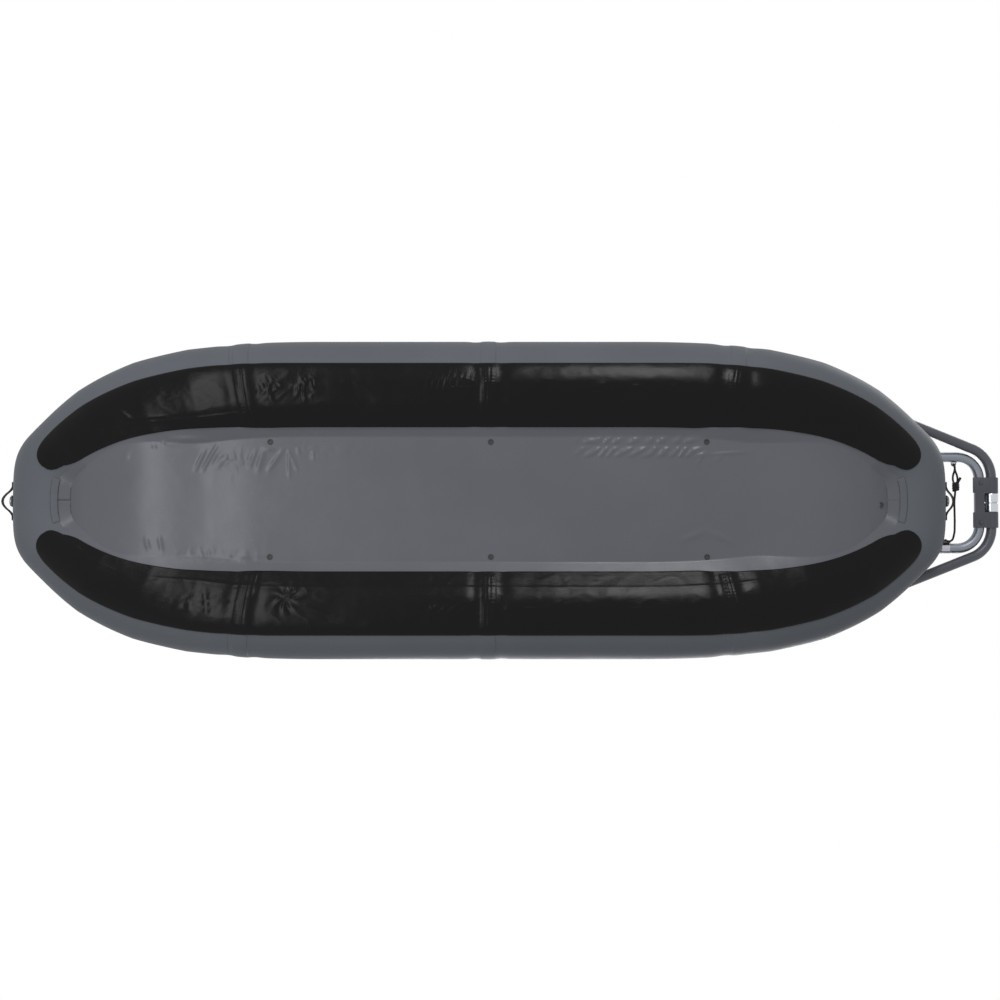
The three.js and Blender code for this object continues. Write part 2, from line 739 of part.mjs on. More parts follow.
function cleatBase() {
  const back = plate(roundedRectangle(38, 40, 6), 5, 3).rotateX(-Math.PI / 2);
  const posts = [1, -1].map((side) => rod('y', postRadius, 14, 0, 11, side * camSpread, 10));
  return join(back, ...posts);
}

// A cam is a spiral sector with teeth on the side that bites the cord.
function cleatCam(side) {
  const teeth = 6;
  const reach = camSpread - cordRadius - fit;
  const outline = new THREE.Shape();
  outline.absarc(0, 0, 6, side * Math.PI, 0, side > 0);
  for (const i of count(teeth)) {
    const radius = mix(reach + 1.5, reach - 1.5, i / teeth);
    const tip = -side * (0.12 + (0.76 * i) / teeth) * Math.PI;
    const root = tip - side * 0.06 * Math.PI;
    outline.lineTo(radius * Math.cos(tip), radius * Math.sin(tip));
    outline.lineTo((radius - 1) * Math.cos(root), (radius - 1) * Math.sin(root));
  }
  outline.holes.push(new THREE.Path().absarc(0, 0, postRadius + 0.4, 0, Math.PI * 2));
  return plate(outline, camWidth, 6).rotateX(-Math.PI / 2);
}

// The lanyard: a loop through the eye, a knot, and one part that runs down into the cleat.
function lanyard() {
  const eye = vec(padEyeX, hoopInside - 8.5, anchorHeight);
  const knot = vec(-1960, 66, 560);
  const inCleat = (x) => vec(x, camY + camWidth / 2, cleatHeight);
  const standing = curvedTube([knot, vec(-1955, 33, 554), vec(-1951, 8, 549), vec(-1950, -40, 545),
    vec(-1951, -92, 548), vec(-1950, -132, 556), inCleat(-1940),
    inCleat(cleatX), inCleat(-1888)], cordRadius, 14);
  const loop = curvedTube([knot, vec(-1967, 92, 558), vec(-1963, 112, 552), vec(-1955, 132, 549),
    vec(-1953, 150, 552), eye.clone().add(vec(0, 0, -7)), eye, eye.clone().add(vec(0, 0, 7)),
    vec(-1962, 150, 579), vec(-1961, 132, 580), vec(-1953, 112, 573), vec(-1951, 90, 565),
    vec(-1957, 72, 561)], cordRadius, 20);
  const lump = new THREE.SphereGeometry(1, 8, 6).rotateX(Math.PI / 2).scale(15, 24, 14);
  const wrap = (y) => rod('y', 16.5, 9, 0, y, 0, 10);
  const knotBody = join(lump, wrap(-11), wrap(1), wrap(13)).translate(knot.x, knot.y, knot.z);
  const tag = curvedTube([knot, vec(-1972, 80, 562), vec(-1979, 92, 564)], cordRadius, 3);
  return join(standing, loop, knotBody, tag);
}

// Oarlocks: a stand clamped on each rail, and a horn that turns on its pin.

function oarlockStand() {
  const clamp = rod('x', sleeveRadius + 1, 76);
  const post = rod('z', 15, oarlockHeight - 10, 0, 0, (oarlockHeight - 10) / 2 + 8);
  const foot = turned([[0, 18], [24, 18], [24, 30], [15, 52], [0, 52]], 12);
  const boss = turned([[0, 0], [15, 0], [20, 12], [20, 44], [18, 46], [0, 46]], 12);
  boss.translate(0, 0, oarlockHeight - 46);
  const pinHole = bore('z', 6.35 + fit, 90, 0, 0, oarlockHeight - 44, 12);
  return cut(join(clamp, post, foot, boss), bore('x', frameTube + fit, 90), pinHole);
}

function oarlock() {
  const pin = rod('z', 6.35, 84, 0, 0, -41, 12);
  const collar = turned([[0, fit], [14, fit], [14, 5], [9, 12], [0, 12]], 14);
  const bowRadius = 33;
  const horns = count(13).map((i) => {
    const angle = mix(-232, 52, i / 12) * degrees;
    return vec(bowRadius * Math.cos(angle), 0, 45 + bowRadius * Math.sin(angle));
  });
  return join(pin, collar, curvedTube(horns, 6.5, 12, 6));
}

// Seats. Each is laid out from the axis of the cross bar that carries it, facing forward.

const turntable = 56; // height of the swivel's joint face
const panHeight = turntable + 6.5;
const hingeX = -192;
const hingeHeight = panHeight + 108;
const hingePin = 5;
const earY = seatWidth / 2 - 8;

function seatBase() {
  const clamp = rod('y', 29, 130);
  const pillar = box(58, 110, 44, 0, 0, 24);
  const top = plate(roundedRectangle(190, 170, 18), 6, 3).translate(0, 0, 42);
  const lower = rod('z', 74, 8.4, 0, 0, turntable - 4.2, 16);
  return cut(join(clamp, pillar, top, lower), bore('y', frameTube + fit, 180));
}

// A moulded sheet over a grid, with its height given by a formula of the two directions, -1 to 1.
function moulded(sizeX, sizeY, steps, height, thickness) {
  const rows = (drop) => count(steps + 1).map((i) => count(steps + 1).map((j) => {
    const [u, v] = [mix(-1, 1, i / steps), mix(-1, 1, j / steps)];
    const corner = 1 - 0.06 * u * u * v * v;
    return vec((sizeX / 2) * u * corner, (sizeY / 2) * v * corner, height(u, v) - drop);
  }));
  return sheet(rows(thickness), rows(0));
}

function seatShell() {
  const lip = (u, v) => 14 * v ** 6 + 10 * Math.max(0, -u) ** 4 - 12 * Math.max(0, u) ** 6;
  const pan = moulded(seatDepth, seatWidth, 6, lip, 6).translate(0, 0, panHeight + 12);
  const hub = turned([[0, 0.4], [74, 0.4], [74, 5], [60, 14], [0, 14]], 14);
  hub.translate(0, 0, turntable);
  const profile = new THREE.Shape();
  profile.moveTo(-150, 8);
  profile.lineTo(hingeX - 14, 8);
  profile.absarc(hingeX, hingeHeight - panHeight, 15, Math.PI, 0, true);
  profile.quadraticCurveTo(hingeX + 22, 40, -150, 22);
  const ears = [1, -1].map((side) => {
    const ear = plate(profile, 9, 4).rotateX(Math.PI / 2).translate(0, 4.5, panHeight);
    return ear.translate(0, side * (earY - 3), 0);
  });
  const hole = bore('y', hingePin + fit, 2 * seatWidth, hingeX, 0, hingeHeight, 12);
  return cut(join(pan, hub, ...ears), hole);
}

// A stuffed pad: crowned, drawn in between its corners, with sewn channels across it.
function pad(sizeX, sizeY, height, channels, steps) {
  const fullness = (u, v) => Math.sqrt(Math.max(0, (1 - u ** 4) * (1 - v ** 4)));
  const channel = (u) => channels.reduce((deep, at) => deep + Math.exp(-(((u - at) / 0.07) ** 2)), 0);
  const rows = (level) => count(steps + 1).map((i) => count(steps + 1).map((j) => {
    const [u, v] = [Math.sin(mix(-90, 90, i / steps) * degrees), Math.sin(mix(-90, 90, j / steps) * degrees)];
    const drawn = 1 - 0.035 * (1 - u * u) * v * v;
    const drawnX = 1 - 0.035 * (1 - v * v) * u * u;
    return vec((sizeX / 2) * u * drawnX, (sizeY / 2) * v * drawn, level(u, v));
  }));
  const seam = height * 0.42;
  const upper = (u, v) => seam + 2 + (height - seam - 2) * fullness(u, v) * (1 - 0.25 * channel(u));
  const lower = (u, v) => seam * (1 - fullness(u, v) ** 0.5);
  return sheet(rows(lower), rows(upper));
}

function seatCushion() {
  return pad(seatDepth - 44, seatWidth - 56, 46, [-0.33, 0.33], 8).translate(6, 0, panHeight + 17.5);
}

// The backrest is laid out upright from its hinge, with +X to the front and +Z up its height.
function backrest() {
  const hollow = (u, v) => 8 * v * v + 2 * u * u;
  const shell = moulded(backHeight, seatWidth - 44, 6, hollow, 6);
  shell.rotateY(Math.PI / 2).translate(0, 0, backHeight / 2 + 16);
  const pin = rod('y', hingePin, 2 * earY, 0, 0, 0, 12);
  const lugs = [1, -1].map((side) => box(24, 18, 46, 4, side * (seatWidth / 2 - 50), 16));
  return join(shell, pin, ...lugs);
}

function backCushion() {
  const stuffed = pad(backHeight - 40, seatWidth - 100, 34, [-0.33, 0.33], 8);
  return stuffed.rotateY(Math.PI / 2).translate(5.5, 0, backHeight / 2 + 26);
}

// Assembly

const raft = new THREE.Group();
raft.position.x = originAft;

function place(parent, name, geometry, material, x = 0, y = 0, z = 0) {
  const mesh = new THREE.Mesh(geometry, material);
  mesh.name = name;
  mesh.position.set(x, y, z);
  parent.add(mesh);
  return mesh;
}

place(raft, 'bow_section', bowSection(), greyVinyl);
place(raft, 'stern_section', sternSection(), greyVinyl);
place(raft, 'bottom_skin', bottomSkin(), floorVinyl);
place(raft, 'floor_panel', floorPanel(), floorVinyl);
for (const [name, side] of [['port', 1], ['starboard', -1]]) {
  place(raft, `${name}_fore_tube`, sideTube(side, seamAtBow, seamMidships), greyVinyl);
  place(raft, `${name}_aft_tube`, sideTube(side, seamMidships, seamAtStern), greyVinyl);
  place(raft, `${name}_wear_patch`, wearPatch(side), blackVinyl);
}

for (const [name, end, reach] of [['bow', 0, 46], ['stern', 2, 34]]) {
  const at = onTube(station(end), -90);
  const towards = Math.sign(at.x);
  place(raft, `${name}_handle`, endHandle(end, reach), webbing);
  place(raft, `${name}_d_ring_patch`, towRingPatch(end), blackVinyl);
  const ring = place(raft, `${name}_d_ring`, towRing(), steelWire, at.x + towards * ringStandOff, 0, at.z);
  ring.rotation.set(0, (towards > 0 ? ringHang : 180 - ringHang) * degrees, 0);
}

const valveX = -560;
const valveAngle = 140;
for (const [name, side] of [['port', 1], ['starboard', -1]]) {
  const at = station(side * placeAt(valveX));
  const seat = new THREE.Group();
  seat.position.copy(onTube(at, valveAngle, 0.6));
  seat.lookAt(onTube(at, valveAngle, 100));
  place(seat, `${name}_valve_body`, valveBody(), blackPlastic);
  place(seat, `${name}_valve_cap`, valveCap(), blackPlastic);
  raft.add(seat);
}

const railMiddle = (railFront + railAft) / 2;
for (const [name, side] of [['port', 1], ['starboard', -1]]) {
  const y = side * railOffset;
  place(raft, `${name}_rail`, rail().rotateX(side < 0 ? Math.PI : 0), coatedTube, railMiddle, y, railHeight);
  place(raft, `${name}_fore_strap`, holdDownStrap(), webbing, holdDownX, y, equator);
  place(raft, `${name}_aft_strap`, holdDownStrap(), webbing, -holdDownX, y, equator);
  const button = snapButton().rotateX(side * (-Math.PI / 2));
  place(raft, `${name}_snap_button`, button, steelWire, railAft + buttonFromEnd, y, railHeight);
  place(raft, `${name}_oarlock_stand`, oarlockStand(), coatedTube, oarlockX, y, railHeight);
  place(raft, `${name}_oarlock`, oarlock(), bareAluminium, oarlockX, y, railHeight + oarlockHeight);
}

place(raft, 'bow_bar', crossBar(), coatedTube, bowBarX, 0, railHeight);
place(raft, 'front_seat_bar', crossBar(), coatedTube, frontSeatX, 0, railHeight);
place(raft, 'foot_bar', crossBar(), coatedTube, footBarX, 0, railHeight);
place(raft, 'rowing_seat_bar', crossBar(), coatedTube, rowingSeatX, 0, railHeight);
place(raft, 'aft_bar', crossBar(), coatedTube, aftBarX, 0, railHeight);
place(raft, 'stern_tube', sternTube(), coatedTube);
place(raft, 'hoop_bar', hoopBar(), coatedTube, hoopFootX, 0, sternTubeHeight(hoopFootX));
place(raft, 'anchor_hoop', anchorHoop(), bareAluminium);

place(raft, 'bracket', bracket(), coatedTube);
place(raft, 'roller', roller().rotateX(Math.PI / 2), polishedMetal, sternBarX, 0, anchorHeight);
const bracketUnderside = bracketTop - bracketThickness;
place(raft, 'port_bracket_bolt', bracketBolt(), coatedTube, hoopBarX, boltsAt[0], bracketUnderside);
place(raft, 'starboard_bracket_bolt', bracketBolt(), coatedTube, hoopBarX, boltsAt[1], bracketUnderside);
place(raft, 'pad_eye', padEye(), steelWire, padEyeX, hoopInside, anchorHeight);
place(raft, 'cleat_base', cleatBase(), blackPlastic, cleatX, -hoopInside, cleatHeight);
place(raft, 'upper_cam', cleatCam(-1), blackPlastic, cleatX, camY, cleatHeight + camSpread);
place(raft, 'lower_cam', cleatCam(1), blackPlastic, cleatX, camY, cleatHeight - camSpread);
place(raft, 'lanyard', lanyard(), webbing);

for (const [name, x] of [['front_seat', frontSeatX], ['rowing_seat', rowingSeatX]]) {
  const seat = new THREE.Group();
  seat.position.set(x, 0, railHeight);
  place(seat, `${name}_base`, seatBase(), coatedTube);
  place(seat, `${name}_shell`, seatShell(), seatPlastic);
  place(seat, `${name}_cushion`, seatCushion(), seatVinyl);
  const back = new THREE.Group();
  back.position.set(hingeX, 0, hingeHeight);
  back.rotation.y = -backRecline * degrees;
  place(back, `${name}_backrest`, backrest(), seatPlastic);
  place(back, `${name}_back_cushion`, backCushion(), seatVinyl);
  seat.add(back);
  raft.add(seat);
}

export default raft;
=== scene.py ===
# %% [markdown]
# # An inflatable fishing raft
#
# The raft is a ring of air tubes with a thin skin stretched under it, two black wear patches where it
# would scrape on rocks, and a bolted frame of tube on top. The photograph looks straight up at its
# bottom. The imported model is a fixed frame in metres: +X is the bow, +Y is port and +Z is up. Each
# piece below is laid in that frame, in place of the plain solid of the same name.

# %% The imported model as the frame
from functools import lru_cache
from math import asin, atan, atan2, copysign, cos, degrees, exp, hypot, pi, radians, sin, sqrt, tan, tau

import bmesh
import bpy
import numpy as np
from mathutils import Matrix, Vector, noise


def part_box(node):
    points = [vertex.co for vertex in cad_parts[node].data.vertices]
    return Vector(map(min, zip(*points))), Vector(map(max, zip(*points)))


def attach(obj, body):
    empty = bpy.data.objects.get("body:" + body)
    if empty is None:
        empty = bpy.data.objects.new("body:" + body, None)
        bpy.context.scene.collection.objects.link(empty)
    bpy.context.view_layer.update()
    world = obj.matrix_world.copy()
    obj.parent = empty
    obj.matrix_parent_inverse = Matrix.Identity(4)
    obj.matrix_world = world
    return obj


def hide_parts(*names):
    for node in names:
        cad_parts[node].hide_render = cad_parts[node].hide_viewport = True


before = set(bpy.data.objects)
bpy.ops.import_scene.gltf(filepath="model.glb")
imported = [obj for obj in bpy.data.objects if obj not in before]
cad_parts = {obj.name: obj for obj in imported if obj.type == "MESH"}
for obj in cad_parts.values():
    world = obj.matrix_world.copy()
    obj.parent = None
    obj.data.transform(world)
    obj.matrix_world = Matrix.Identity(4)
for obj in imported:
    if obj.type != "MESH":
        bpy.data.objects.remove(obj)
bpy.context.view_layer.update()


def linked(name, data):
    """A new object in the scene."""
    made = bpy.data.objects.new(name, data)
    bpy.context.scene.collection.objects.link(made)
    return made


# %% [markdown]
# ## The camera
#
# The raft hangs above the camera, which looks straight up. A lens on the floor would have to be very
# wide, so the camera stands about six metres below, a little to one side of the middle, as the
# slightly uneven ends in the photograph show.

# %% Camera below the raft
CAMERA_AT = Vector((0.033, -0.170, -5.810))
LOOKS_AT = Vector((0.035, 0.0007, 0.190))
HALF_VIEW = atan(1.940 / 6.0)

camera_data = bpy.data.cameras.new("camera")
camera_data.sensor_width = 36
camera_data.lens = camera_data.sensor_width / 2 / tan(HALF_VIEW)
camera_data.clip_end = 100
camera = linked("camera", camera_data)
backward = (CAMERA_AT - LOOKS_AT).normalized()
rightward = Vector((0, 1, 0)).cross(backward).normalized()
upward = backward.cross(rightward)
turned = Matrix((rightward, upward, backward)).transposed().to_4x4()
camera.matrix_world = Matrix.Translation(CAMERA_AT) @ turned
bpy.context.scene.camera = camera
bpy.context.scene.view_settings.view_transform = "Standard"
print("lens of", round(camera_data.lens, 1), "mm")

# %% [markdown]
# ## The lanyard
#
# A braided cord hangs between the legs of the anchor hoop. It leaves the cleat on the starboard leg,
# sags a little, and ends in a loop through the eye on the port leg, closed by a knot. A cord is one
# curve with a round section, so its route comes first and its braid later.

# %% The lanyard's route
bow_low, bow_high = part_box("bow_section")
stern_low, stern_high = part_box("stern_section")
MIDDLE_X = (bow_high.x + stern_low.x) / 2
HALF_LENGTH = (bow_high.x - stern_low.x) / 2
CORD = 0.0085
# A curve's box is as wide as its points' radius, so the radius is kept small and the bevel made deeper.
POINT_RADIUS = 0.01
EYE = (-1.953, 0.1585, 0.565)
KNOT = (-1.960, 0.066, 0.560)
CLEAT = (-1.914, -0.1565, 0.562)
LOOP_THROUGH_EYE = 0.007


def lanyard_route():
    """The cord's line from its free end beyond the cleat to the knot, in metres from the raft's middle."""
    cleat_x, cleat_y, cleat_z = CLEAT
    eye_x, eye_y, eye_z = EYE
    in_cleat = [(cleat_x + shift, cleat_y, cleat_z) for shift in (0.026, 0, -0.026)]
    standing = [(-1.950, -0.132, 0.556), (-1.951, -0.092, 0.548), (-1.950, -0.040, 0.545)]
    standing += [(-1.951, 0.008, 0.549), (-1.955, 0.033, 0.554), KNOT]
    below = [(-1.967, 0.092, 0.558), (-1.963, 0.112, 0.552), (-1.955, 0.132, 0.549), (-1.953, 0.150, 0.552)]
    through = [(eye_x, eye_y, eye_z + shift) for shift in (-LOOP_THROUGH_EYE, 0, LOOP_THROUGH_EYE)]
    above = [(-1.962, 0.150, 0.579), (-1.961, 0.132, 0.580), (-1.953, 0.112, 0.573)]
    above += [(-1.951, 0.090, 0.565), (-1.957, 0.072, 0.561)]
    whole = in_cleat + standing + below + through + above
    return [Vector(point) + Vector((MIDDLE_X, 0, 0)) for point in whole]


def cord_curve(name, route, diameter):
    line = bpy.data.curves.new(name, "CURVE")
    line.dimensions = "3D"
    line.resolution_u = 6
    line.bevel_depth = diameter / 2 / POINT_RADIUS
    line.bevel_resolution = 3
    line.use_fill_caps = True
    spline = line.splines.new("BEZIER")
    spline.bezier_points.add(len(route) - 1)
    for point, place in zip(spline.bezier_points, route):
        point.co = place
        point.radius = POINT_RADIUS
        point.handle_left_type = point.handle_right_type = "AUTO"
    return linked(name, line)


route = lanyard_route()
lanyard_cord = cord_curve("lanyard_cord", route, CORD)
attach(lanyard_cord, "raft")
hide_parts("lanyard")

# %% [markdown]
# ## Shader maths
#
# A finish is a small tree of nodes. Writing it node by node hides what it says, so a socket is wrapped
# in a class whose sums and products add the Math nodes. One method adds any other node.

# %% Signals and finishes
def srgb(red, green, blue):
    """A colour as it is read off a screen, 0 to 255, in the linear numbers that shaders use."""
    def linear(value):
        share = value / 255
        return share / 12.92 if share <= 0.04045 else ((share + 0.055) / 1.055) ** 2.4
    return (linear(red), linear(green), linear(blue), 1)


class Signal:
    """A socket that carries a value over a surface."""

    def __init__(self, finish, socket):
        self.finish = finish
        self.socket = socket

    def math(self, operation, first, second):
        return self.finish.add("Math", {"operation": operation}, {0: first, 1: second})

    def __add__(self, other):
        return self.math("ADD", self, other)

    def __sub__(self, other):
        return self.math("SUBTRACT", self, other)

    def __mul__(self, other):
        return self.math("MULTIPLY", self, other)

    def between(self, low, high):
        """0 below low, 1 above high and smooth between."""
        settings = {"interpolation_type": "SMOOTHSTEP"}
        return self.finish.add("MapRange", settings, {"Value": self, "From Min": low, "From Max": high})


class Finish:
    """A material that is built up from signals."""

    def __init__(self, name, colour, roughness, constants=None):
        self.material = bpy.data.materials.new(name)
        self.material.use_nodes = True
        self.tree = self.material.node_tree
        self.shader = self.tree.nodes["Principled BSDF"]
        self.material.diffuse_color = colour
        self.feed("Base Color", colour)
        self.feed("Roughness", roughness)
        for socket, value in (constants or {}).items():
            self.feed(socket, value)

    def plug(self, socket, value):
        if isinstance(value, Signal):
            self.tree.links.new(value.socket, socket)
        else:
            socket.default_value = value

    def feed(self, name, value):
        self.plug(self.shader.inputs[name], value)

    def add(self, kind, settings, inputs, output=0):
        node = self.tree.nodes.new("ShaderNode" + kind)
        for key, value in settings.items():
            setattr(node, key, value)
        for key, value in inputs.items():
            self.plug(node.inputs[key], value)
        return Signal(self, node.outputs[output])

    def place(self, stretch=(1, 1, 1)):
        """The surface's own place, stretched along the axes."""
        where = self.add("TexCoord", {}, {}, "Object")
        return self.add("Mapping", {}, {"Vector": where, "Scale": stretch})

    def clouds(self, scale, detail=2.0, stretch=(1, 1, 1)):
        inputs = {"Vector": self.place(stretch), "Scale": scale, "Detail": detail}
        return self.add("TexNoise", {}, inputs, "Fac")

    def blend(self, share, first, second):
        inputs = {"Factor": share, 6: first, 7: second}
        return self.add("Mix", {"data_type": "RGBA"}, inputs, 2)

    def tint(self, share, first, second):
        self.feed("Base Color", self.blend(share, first, second))

    def relief(self, height, distance, strength=1.0):
        inputs = {"Height": height, "Distance": distance, "Strength": strength}
        self.feed("Normal", self.add("Bump", {}, inputs))


def shade(colour, factor):
    """The same colour, darker or lighter."""
    return (*[min(1, part * factor) for part in colour[:3]], 1)

# %% [markdown]
# ## Finishes
#
# The hull is polyester cloth with a thick vinyl coat. It is smooth to the eye, with a faint linen
# grain close up, slow changes of tone, and a satin gloss that soft lamps draw out in long bands. The
# patches are the same stuff in black and glossier; the floor skin is thinner and shows its folds. Each
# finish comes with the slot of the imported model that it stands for.

# %% Coated fabrics
def coated_fabric(slot, name, colour, roughness, cloudiness, dents, gloss=0.2):
    cloth = Finish(name, colour, roughness, {"Specular IOR Level": gloss})
    tone = cloth.clouds(2.2, 3).between(0.3, 0.7)
    cloth.tint(tone, shade(colour, 1 - cloudiness), shade(colour, 1 + cloudiness))
    rub = cloth.clouds(9, 4)
    cloth.feed("Roughness", (rub - 0.5) * 0.16 + roughness)
    grain = cloth.clouds(900, 1) * 0.04
    cloth.relief(cloth.clouds(7, 2) + grain, dents)
    return slot, cloth.material


GREY = srgb(98, 102, 108)
BLACK = srgb(10, 10, 11)
hull_cloth = coated_fabric("grey_vinyl", "hull_cloth", GREY, 0.50, 0.04, 0.001, 0.05)
tape_cloth = coated_fabric("grey_vinyl", "seam_tape_cloth", GREY, 0.50, 0.04, 0.001, 0.05)
patch_cloth = coated_fabric("black_vinyl", "patch_cloth", BLACK, 0.17, 0.10, 0.004, 0.13)
skin_cloth = coated_fabric("floor_vinyl", "skin_cloth", srgb(93, 95, 102), 0.25, 0.04, 0.002, 0.26)
floor_cloth = coated_fabric("floor_vinyl", "floor_panel_cloth", srgb(92, 95, 100), 0.55, 0.04, 0.001)

# %% Metals, plastics and webbing
def metal(slot, name, colour, roughness, drawn=(1, 1, 1)):
    """Bare metal, with the fine lines that drawing or turning leaves along it."""
    bare = Finish(name, colour, roughness, {"Metallic": 1.0})
    lines = bare.clouds(350, 3, drawn)
    bare.feed("Roughness", (lines - 0.5) * 0.25 + roughness)
    bare.relief(lines, 0.0001, 0.4)
    return slot, bare.material


def powder_coat(slot, name, colour, roughness):
    """Paint that is baked on as a powder and keeps an orange-peel skin."""
    paint = Finish(name, colour, roughness)
    peel = paint.clouds(700, 2)
    paint.tint(paint.clouds(5, 2).between(0.35, 0.65), shade(colour, 0.94), shade(colour, 1.06))
    paint.feed("Roughness", (peel - 0.5) * 0.2 + roughness)
    paint.relief(peel, 0.0003, 0.5)
    return slot, paint.material


def moulded_plastic(slot, name, colour, roughness):
    plastic = Finish(name, colour, roughness)
    pebble = plastic.add("TexVoronoi", {}, {"Vector": plastic.place(), "Scale": 900}, "Distance")
    plastic.tint(plastic.clouds(12, 2), shade(colour, 0.93), shade(colour, 1.07))
    plastic.relief(pebble, 0.0002, 0.5)
    return slot, plastic.material


WAVE_RATE = 20  # a wave texture of scale 1 runs through this many radians a metre


def woven(slot, name, colour, pitch):
    """Webbing: two sets of threads that cross, as two waves of light and shade."""
    belt = Finish(name, colour, 0.85)

    def threads(direction):
        settings = {"bands_direction": direction, "wave_profile": "SIN"}
        scale = tau / WAVE_RATE / pitch
        return belt.add("TexWave", settings, {"Vector": belt.place(), "Scale": scale}, "Fac")

    weave = threads("X") * 0.5 + threads("Y") * 0.5
    belt.tint(weave, shade(colour, 0.7), shade(colour, 1.5))
    belt.relief(weave, 0.0006, 0.8)
    return slot, belt.material


def sewn_vinyl(slot, name, colour):
    hide = Finish(name, colour, 0.5)
    cells = {"Vector": hide.place(), "Scale": 260}
    wrinkles = hide.add("TexVoronoi", {"feature": "DISTANCE_TO_EDGE"}, cells)
    hide.tint(hide.clouds(8, 3), shade(colour, 0.9), shade(colour, 1.1))
    hide.feed("Roughness", hide.clouds(30, 2) * 0.2 + 0.42)
    hide.relief(wrinkles.between(0, 0.2), 0.0004, 0.6)
    return slot, hide.material


cord_braid = woven("webbing", "cord_braid", srgb(18, 18, 20), 0.0025)
coated_tube = powder_coat("coated_tube", "dark_coated_tube", srgb(74, 76, 85), 0.32)
bracket_paint = powder_coat("coated_tube", "bracket_coat", srgb(63, 64, 72), 0.5)
bare_tube = metal("bare_aluminium", "bare_aluminium_tube", srgb(126, 130, 138), 0.42)
polished = metal("polished_metal", "polished_roller", srgb(196, 199, 204), 0.2, (1, 12, 1))
steel = metal("steel_wire", "stainless_steel", srgb(170, 172, 178), 0.28)
black_plastic = moulded_plastic("black_plastic", "black_moulded_plastic", srgb(30, 31, 33), 0.5)
seat_plastic = moulded_plastic("seat_plastic", "seat_plastic", srgb(74, 76, 80), 0.5)
seat_vinyl = sewn_vinyl("seat_vinyl", "seat_vinyl", srgb(118, 122, 128))
strap_webbing = woven("webbing", "strap_webbing", srgb(30, 30, 32), 0.0016)
print(len(bpy.data.materials), "finishes")

# %% [markdown]
# ## Making a piece
#
# Fabric starts as a flat grid, as it does on the cutting table, and is then laid on a form: one
# function says where each point of the grid goes. Rods and rings are a profile spun round an axis.
# Bent tube is a line with a round section. What one of these makes is closed, smoothed and set on its
# body by one function.

# %% Helpers for meshes
MERGE = 1e-6
PLATE_ROUNDING = 0.0008
BEND_STEPS = 16  # of a right angle


def piece(name, bm, look, node=None, body="raft", sharp=35, thickness=0.0, levels=0):
    """Turns a bmesh into a finished piece that rides on a body, in place of a plain solid."""
    slot, material = look
    bmesh.ops.remove_doubles(bm, verts=bm.verts, dist=MERGE)
    bmesh.ops.recalc_face_normals(bm, faces=bm.faces)
    mesh = bpy.data.meshes.new(name)
    bm.to_mesh(mesh)
    bm.free()
    for polygon in mesh.polygons:
        polygon.use_smooth = True
    mesh.set_sharp_from_angle(angle=radians(sharp))
    made = linked(name, mesh)
    mesh.materials.append(material)
    if thickness:
        wall = made.modifiers.new("thickness", "SOLIDIFY")
        wall.thickness = thickness
        wall.offset = 0
    if levels:
        fine = made.modifiers.new("smoothing", "SUBSURF")
        fine.levels = levels
        fine.render_levels = levels
    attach(made, body)
    if node:
        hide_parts(node)
    return made


def evenly(low, high, count):
    return [float(value) for value in np.linspace(low, high, count + 1)]


def cloth(columns, rows, shape):
    """A flat grid laid on a form. The shape gives a place for a value of each list."""
    bm = bmesh.new()
    last_column, last_row = len(columns) - 1, len(rows) - 1
    bmesh.ops.create_grid(bm, x_segments=last_column, y_segments=last_row, size=0.5)
    for vert in bm.verts:
        column = columns[round((vert.co.x + 0.5) * last_column)]
        row = rows[round((vert.co.y + 0.5) * last_row)]
        vert.co = shape(column, row)
    return bm


def closer_in(zones, start, end, usual, fine):
    """Values from start to end, a usual step apart, and a fine step apart inside the zones."""
    values = [start]
    while values[-1] < end:
        here = values[-1]
        step = fine if any(low <= here <= high for low, high in zones) else usual
        values.append(min(end, here + step))
    return values


def drawn_through(points, steps):
    """A smooth line through the points, with a number of steps between each two."""
    points = [Vector(point) for point in points]
    ends = [points[0] * 2 - points[1], *points, points[-1] * 2 - points[-2]]
    line = []
    for a, b, c, d in zip(ends, ends[1:], ends[2:], ends[3:]):
        for step in range(steps):
            t = step / steps
            bend = (a * 2 - b * 5 + c * 4 - d) * t * t + (b * 3 - a - c * 3 + d) * t**3
            line.append((b * 2 + (c - a) * t + bend) / 2)
    return [*line, points[-1]]


def ribbon(points, across, width, thickness):
    """A flat strap along a line, with its width laid along one direction."""
    places = [Vector(point) for point in points]

    def shape(index, share):
        return places[int(index)] + Vector(across) * width * share

    bm = cloth(list(range(len(places))), evenly(-0.5, 0.5, 4), shape)
    bmesh.ops.recalc_face_normals(bm, faces=bm.faces)
    bmesh.ops.solidify(bm, geom=bm.faces, thickness=thickness)
    return bm


def extruded(outline, thickness):
    """A plate: a flat outline in X and Y pulled up along Z, with its rims rounded."""
    bm = bmesh.new()
    face = bm.faces.new([bm.verts.new((x, y, 0)) for x, y in outline])
    pulled = bmesh.ops.extrude_face_region(bm, geom=[face])
    top = [part for part in pulled["geom"] if isinstance(part, bmesh.types.BMVert)]
    bmesh.ops.translate(bm, verts=top, vec=(0, 0, thickness))
    bmesh.ops.recalc_face_normals(bm, faces=bm.faces)
    return softened(bm, PLATE_ROUNDING)


def slab(size, middle, rounding):
    """A block with rounded edges."""
    bm = bmesh.new()
    bmesh.ops.create_cube(bm, size=1)
    bmesh.ops.scale(bm, vec=size, verts=bm.verts)
    bmesh.ops.translate(bm, vec=middle, verts=bm.verts)
    return softened(bm, rounding, segments=3)


